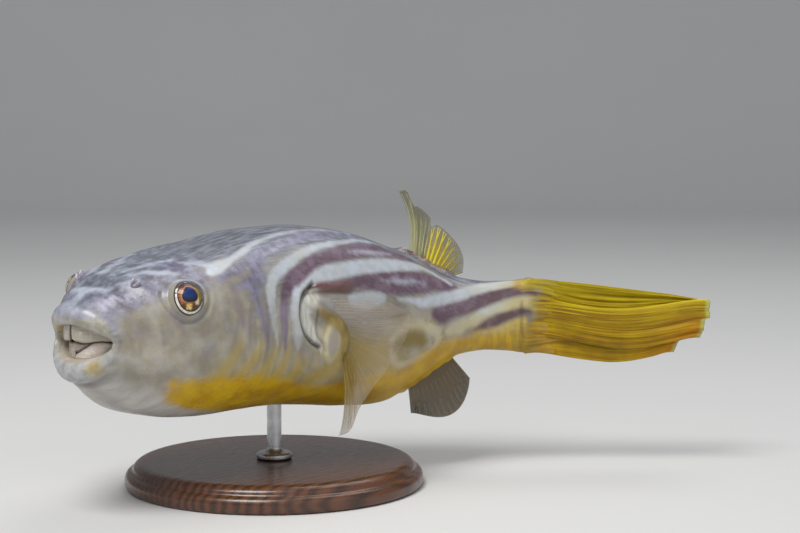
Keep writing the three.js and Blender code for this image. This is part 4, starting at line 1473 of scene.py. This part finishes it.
def tail_reach(across, s):
    """How far behind its root a place on the tail fin lies."""
    ragged = 1 - 0.02 * smooth(0.62, 0.8, across)
    lower_leaf = 1 - 0.14 * smooth(0.8, 1, across)
    upper_leaf = 1 - 0.06 * fade(0.1, 0.4, across)
    return TAIL_FIN_LENGTH * s * ragged * lower_leaf * upper_leaf


def tail_ridges(across, s):
    """Height of the fine rays: they fork on their way back, so there are more at the edge."""
    rays = across * 17 + 0.5 * np.sin(11 * across + 1.0) + 0.25 * np.sin(29 * across)
    first = 0.5 + 0.5 * np.cos(2 * np.pi * rays)
    second = 0.5 + 0.5 * np.cos(4 * np.pi * rays + 0.4)
    third = 0.5 + 0.5 * np.cos(8 * np.pi * rays + 1.3 * np.sin(9 * across))
    fork = smooth(0.15, 0.5, s)
    again = smooth(0.45, 0.85, s)
    ridge = mix(first ** 2, second ** 2, fork)
    return mix(ridge, 0.5 * second + 0.5 * third, again)


def make_tail_fin(material):
    """The tail fin as one thin, folded and finely ridged sheet."""
    across_count, along_count = 400, 120
    v = np.linspace(0, 1, across_count)
    end, back, left = axis_at(STANDARD_LENGTH)
    near, far, ridges, hollow, dips = [], [], [], [], []
    stations = np.linspace(0, 1, along_count)
    for s in stations:
        toward_left, upward = tail_fold(v, s)
        free = smooth(0.12, 0.5, s)
        soft = 0.55 * np.sin(v * 27 + 2.6 * s) + 0.4 * np.sin(v * 61 - 3.1 * s + 1)
        soft += 0.3 * np.sin(v * 95 + 5 * s * s)
        toward_left = toward_left + soft * free * (0.6 + 0.4 * np.sin(v * 9 + 1))
        run_left = np.gradient(toward_left)
        run_up = np.gradient(upward)
        run = np.hypot(run_left, run_up)
        ridge = tail_ridges(v, s)
        half = mix(1.1, 0.3, smooth(0, 0.3, s)) + 0.2 * ridge * (1 - 0.4 * s)
        half = half * rounded_off(v, 40)
        uneven = 0.3 * np.sin(v * 46) + 0.14 * np.sin(v * 117 + 1)
        step_back = 2.6 * smooth(0.58, 0.61, v)
        reach = tail_reach(v, s) - 2.0 * (1 - s) + (uneven - 2.6 - step_back) * smooth(0.8, 1, s)
        centre = end + back * reach[:, None]
        for rows, sign in ((near, 1), (far, -1)):
            row = centre + left * (toward_left - sign * half * run_up / run)[:, None]
            row[:, 2] += upward + sign * half * run_left / run
            rows.append(row)
        ridges.append(ridge)
        # painted shade: dark in the dips of the folds on the near face, and over the far face
        dip = np.clip(-soft * free, 0, 1)
        dips.append(dip)
        hollow.append(0.6 * free - dip)
    piece = closed_sheet("tail_fin", np.array(near), np.array(far), material)
    v, s = np.meshgrid(v, stations)
    for field, values in (("ridge", both_faces(np.array(ridges))), ("along", both_faces(s)),
                          ("across", both_faces(v)),
                          ("hollow", both_faces(np.array(dips), np.array(hollow)))):
        paint(piece, field, np.clip(values, 0, 1))
    return piece


def tail_colour(f):
    """Yellow with lines that run out along the rays; also the fine and the broad pattern."""
    step, times = f.step, f.times
    along = f.painted("along")
    across = f.painted("across")

    def lines(count, drift):
        bent = f.plus(across, times(f.math("SINE", times(along, 3.0)), drift))
        pattern = f.node("ShaderNodeCombineXYZ", {
            "X": times(bent, count), "Y": times(along, 1.6)})
        return f.noise(pattern.outputs["Vector"], 1.0, 4.0, 0.55)

    threads = lines(120.0, 0.012)
    bands = lines(26.0, 0.02)
    cloud = f.noise(f.place(), 60.0, 3.0)
    # painted highlight along the top edge of the middle leaf
    crest = times(times(step(across, 0.34, 0.37), step(across, 0.45, 0.40)),
                  step(along, 0.08, 0.3))
    colour = f.layers(
        f.two(cloud, 0.35, 0.65, (148, 119, 0), (170, 142, 0)),
        (step(bands, 0.52, 0.38), 0.7, (126, 86, 0)),
        (step(bands, 0.56, 0.68), 0.55, (204, 177, 2)),
        (step(threads, 0.48, 0.36), 0.7, (96, 64, 0)),
        (step(threads, 0.58, 0.7), 0.5, (218, 193, 10)),
        (times(step(across, 0.5, 0.85), step(cloud, 0.3, 0.6)), 0.3, (190, 134, 0)),
        (times(step(across, 0.5, 0.75), step(along, 0.6, 0.95)), 0.5, (204, 124, 4)),
        (step(across, 0.34, 0.1), 0.5, (184, 170, 2)),
        (crest, 0.6, (226, 206, 14)))
    return colour, threads, bands


def tail_finish():
    f = Finish("yellow tail fin")
    colour, threads, _ = tail_colour(f)
    along = f.painted("along")
    # painted shade in the grooves between the ridged rays
    shade_between_rays = f.times(f.step(f.painted("ridge"), 0.5, 0.0), f.step(along, 0.1, 0.3))
    colour = f.layers(
        colour,
        (shade_between_rays, 0.35, (120, 80, 0)),
        # painted shade in the folds and on the far face
        (f.painted("hollow"), 0.4, (116, 76, 0)),
        (f.step(along, 0.965, 0.99), 0.7, (176, 182, 96)))
    f.set(Base_Color=colour, Roughness=f.step(threads, -0.5, 1.6), Specular_IOR_Level=0.2,
          Normal=f.bump(threads, 0.6, 0.0007), Coat_Weight=0.08, Coat_Roughness=0.2,
          Subsurface_Weight=0.03, Subsurface_Scale=0.2)
    return f.material


# ------------------------------------------------------------------ stand
def turned(name, profile, segments, material):
    """A closed piece turned round the upright axis through the origin."""
    turn = np.linspace(0, 2 * np.pi, segments, endpoint=False)
    rings = [np.stack([r * np.cos(turn), r * np.sin(turn), z + 0 * turn], -1)
             for r, z in profile]
    return closed_loft(name, np.array(rings), material)


def rounded(corners, radius, steps=6):
    """An open outline with its inner corners rounded."""
    outline = [corners[0]]
    for before, corner, after in zip(corners, corners[1:], corners[2:]):
        p, c, q = (np.array(v, float) for v in (before, corner, after))
        cut = min(radius, 0.45 * np.linalg.norm(p - c), 0.45 * np.linalg.norm(q - c))
        start = c + unit(p - c) * cut
        stop = c + unit(q - c) * cut
        for k in range(steps + 1):
            t = k / steps
            outline.append(tuple((1 - t) ** 2 * start + 2 * t * (1 - t) * c + t * t * stop))
    outline.append(corners[-1])
    return outline


def make_stand(wood, steel):
    _, (r, _, top) = (np.array(v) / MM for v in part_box("stand_base"))
    corners = [(1, 0), (r - 1.5, 0), (r, 1.5), (r, 6), (r - 1.2, 8.2), (r - 4, 9.4),
               (r - 4.8, 11.6), (r - 7, 13.4), (r - 10, top), (40, top), (1, top)]
    base = turned("display_base", rounded(corners, 1.6), 160, wood)
    (_, _, foot), (collar, _, tip) = (np.array(v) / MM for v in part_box("stand_rod"))
    corners = [(0.5, foot), (collar - 0.6, foot), (collar, foot + 0.6), (collar, foot + 2.4),
               (collar - 1, foot + 3.4), (5.2, foot + 4), (4, foot + 5.6), (4, tip - 0.6),
               (3.4, tip), (0.5, tip)]
    return base, turned("display_rod", rounded(corners, 0.5), 64, steel)


def wood_finish():
    f = Finish("dark stained wood")
    place = f.place()
    bend = f.noise(place, 14.0, 2.0)
    rings = f.node("ShaderNodeTexWave", {
        "Vector": f.stretch(place, (6.0, 60.0, 60.0)), "Scale": 1.0, "Distortion": 5.0,
        "Detail": 3.0, "Detail Scale": 1.4}, wave_type="BANDS", bands_direction="Y")
    pores = f.noise(f.stretch(place, (90.0, 1500.0, 1500.0)), 1.0, 4.0, 0.65)
    colour = f.layers(
        f.blend(rings.outputs["Fac"], (58, 34, 22), (98, 60, 38)),
        (f.step(bend, 0.4, 0.7), 0.5, (76, 44, 28)),
        (f.step(pores, 0.6, 0.72), 0.7, (32, 18, 12)))
    f.set(Base_Color=colour, Roughness=f.step(pores, -0.4, 2.0),
          Normal=f.bump(pores, 0.15, 0.0004), Coat_Weight=0.3, Coat_Roughness=0.15)
    return f.material


def steel_finish():
    f = Finish("brushed steel")
    place = f.place()
    brush = f.noise(f.stretch(place, (900.0, 900.0, 12000.0)), 1.0, 3.0, 0.7)
    f.set(Base_Color=f.blend(brush, (168, 168, 170), (206, 206, 208)), Metallic=1.0,
          Roughness=f.step(f.noise(place, 120.0, 2.0), -0.6, 2.4),
          Normal=f.bump(brush, 0.12, 0.0002))
    return f.material


# ------------------------------------------------------------------ room, metres
VIEW_AZIMUTH = math.radians(-49)
VIEW_HEIGHT = math.radians(5.5)
VIEW_DISTANCE = 1.05
SENSOR_WIDTH = 36.0             # mm, like the lens
LENS = 87.9
AIM = Vector((0.032, -0.064, 0.122))
SKY_COLOUR = (0.8, 0.82, 0.85, 1)
SKY_STRENGTH = 0.38
# name, azimuth from the camera and height in degrees, distance, size, power in watts, tint
LIGHTS = [("key", -30, 56, 1.6, 0.7, 23, (1.0, 0.99, 0.97)),
          ("fill", 40, 12, 1.9, 2.4, 9, (0.97, 0.98, 1.0)),
          ("top", 150, 62, 1.5, 0.9, 6, (1, 1, 1))]


def make_floor():
    """A floor that bends up behind the fish into a wall."""
    f = Finish("pale studio floor")
    tone = f.noise(f.place(), 3.0, 2.0)
    f.set(Base_Color=f.blend(tone, (206, 206, 206), (212, 212, 211)), Roughness=0.7)
    reach, rear, height, bend, half_width, steps = 6.0, 2.2, 4.0, 0.9, 8.0, 12
    outline = [(-reach, FLOOR), (rear, FLOOR)]
    for k in range(1, steps + 1):
        turn = math.pi / 2 * k / steps
        outline.append((rear + bend * math.sin(turn), FLOOR + bend * (1 - math.cos(turn))))
    outline.append((rear + bend, height))
    away = np.array([-math.sin(VIEW_AZIMUTH), math.cos(VIEW_AZIMUTH)])
    aside = np.array([math.cos(VIEW_AZIMUTH), math.sin(VIEW_AZIMUTH)])
    points = [(*(away * d + aside * w), z) for d, z in outline for w in (-half_width, half_width)]
    faces = [(2 * k, 2 * k + 1, 2 * k + 3, 2 * k + 2) for k in range(len(outline) - 1)]
    mesh = bpy.data.meshes.new("floor")
    mesh.from_pydata(points, [], faces)
    mesh.polygons.foreach_set("use_smooth", [True] * len(faces))
    mesh.materials.append(f.material)
    link_object("floor", mesh)


def towards(azimuth, height):
    """The direction from the fish to a place at an azimuth and a height, both in radians."""
    return Vector((math.sin(azimuth) * math.cos(height), -math.cos(azimuth) * math.cos(height),
                   math.sin(height)))


def look_at_fish(name, data, direction, distance):
    """A camera or light at a distance from the fish, turned towards it."""
    made = link_object(name, data)
    made.location = AIM + direction * distance
    made.rotation_euler = (-direction).to_track_quat("-Z", "Y").to_euler()
    return made


def make_camera():
    data = bpy.data.cameras.new("camera")
    data.sensor_width = SENSOR_WIDTH
    data.lens = LENS
    bpy.context.scene.camera = look_at_fish("camera", data, towards(VIEW_AZIMUTH, VIEW_HEIGHT),
                                            VIEW_DISTANCE)


def make_light(name, azimuth, height, distance, size, power, tint):
    """A square soft light that looks at the fish."""
    data = bpy.data.lights.new(name, "AREA")
    data.size = size
    data.energy = power
    data.color = tint
    look_at_fish(name, data, towards(VIEW_AZIMUTH + math.radians(azimuth), math.radians(height)),
                 distance)


def make_room():
    make_floor()
    make_camera()
    for light in LIGHTS:
        make_light(*light)
    world = bpy.data.worlds.new("studio")
    world.use_nodes = True
    background = world.node_tree.nodes["Background"].inputs
    background["Color"].default_value = SKY_COLOUR
    background["Strength"].default_value = SKY_STRENGTH
    bpy.context.scene.world = world
    bpy.context.scene.view_settings.view_transform = "Standard"


# ------------------------------------------------------------------ putting it together
def show(piece, slot, *nodes):
    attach(piece, "root")
    if nodes:
        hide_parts(*nodes)


def show_fin(name, ray, web, rays, solid):
    """The web and the rays of a fin; web and rays are what make_membrane and make_rays take."""
    show(make_membrane(name.format("web"), ray, *web), "fin", solid)
    show(make_rays(name.format("rays"), ray, *rays), "fin")


make_room()
show(make_skin(skin_finish()), "skin", "head", "trunk", "tail_stalk")

SIDES = {"left": 1, "right": -1}
eye_material = eye_finish()
enamel = beak_finish()
flap_material = flap_finish()
for side_name, side in SIDES.items():
    show(make_eye(f"eyeball_{side_name}", side, eye_material), "eye", f"eye_{side_name}")
    show(make_nasal_flap(f"nostril_flap_{side_name}", side, flap_material), "skin",
         f"nasal_flap_{side_name}")
    for jaw, up in (("upper", 1), ("lower", -1)):
        show(make_beak_plate(f"{jaw}_plate_{side_name}", side, up, enamel), "beak",
             f"{jaw}_beak_{side_name}")

# Fins: colours from the first ray to the last, the margin's colour, how much the web covers
# from the first ray to the last and at its edge, and its number of threads; for the rays their
# colours, the tips' colour and where it begins.
CREAM = (168, 166, 122)
dorsal_web = web_finish(
    "dorsal fin web",
    [(0.0, CREAM), (0.14, CREAM), (0.2, (128, 126, 66)), (0.27, CREAM), (0.32, (120, 118, 56)),
     (0.4, (120, 108, 40)), (0.5, (176, 150, 10)), (0.8, (160, 140, 14)),
     (0.92, (150, 130, 20)), (1.0, (128, 116, 56))],
    (112, 108, 76),
    [(0.0, 1.0), (0.15, 1.0), (0.3, 0.8), (0.44, 0.55), (0.6, 0.8), (1.0, 0.7)], 0.45, 50.0)
dorsal_rays = ray_finish(
    "dorsal fin rays",
    [(0.0, CREAM), (0.38, CREAM), (0.44, (222, 202, 16)), (0.8, (212, 190, 10)),
     (1.0, (180, 160, 30))],
    (168, 156, 84), 0.85)
show_fin("dorsal_{}", dorsal_ray, (150, 60, (2.6, 0.4), dorsal_web),
         (14, dorsal_rays, 1.0, (0.6, 0.85), [(0.06, 0.08, 0.8), (0.3, 0.1, 0.5),
                                              (0.58, 0.16, 1.7)]), "dorsal_fin")

# The anal fin's dark brown is partly its own tone and partly painted shade.
anal_web = web_finish(
    "anal fin web", [(0.0, (98, 82, 46)), (1.0, (92, 70, 30))], (84, 70, 42),
    [(0.0, 0.88), (1.0, 0.9)], 0.8, 60.0)
anal_rays = ray_finish("anal fin rays", [(0.0, (134, 114, 68)), (1.0, (138, 110, 52))],
                       (116, 100, 64), 0.5)
show_fin("anal_{}", anal_ray, (130, 50, (2.6, 0.35), anal_web), (13, anal_rays, 0.8),
         "anal_fin")

OLIVE = (126, 104, 34)
pectoral_web = web_finish(
    "pectoral fin web",
    [(0.0, (190, 180, 172)), (0.5, (176, 166, 152)), (0.68, (150, 130, 74)), (0.9, OLIVE),
     (1.0, OLIVE)],
    (160, 148, 130),
    [(0.0, 0.2), (0.08, 0.35), (0.2, 0.56), (0.48, 0.52), (0.6, 0.25), (0.78, 0.3),
     (0.86, 0.85), (1.0, 0.92)], 0.45, 60.0)
pectoral_rays = ray_finish(
    "pectoral fin rays",
    [(0.0, (190, 178, 166)), (0.55, (168, 156, 142)), (0.76, (164, 140, 66)),
     (0.9, (156, 130, 44)), (1.0, (152, 126, 50))],
    (150, 134, 92), 0.55)
for side_name, side in SIDES.items():
    show_fin("pectoral_{}_" + side_name, pectoral_ray(side),
             (220, 70, (3.0, 0.35), pectoral_web),
             (22, pectoral_rays, 0.42, (0.42, 0.74), [(0.2, 0.3, -0.5), (0.97, 0.08, 0.5)]),
             f"pectoral_fin_{side_name}")

show(make_tail_fin(tail_finish()), "tail_fin", "caudal_fin")
base, rod = make_stand(wood_finish(), steel_finish())
show(base, "stand_wood", "stand_base")
show(rod, "stand_steel", "stand_rod")
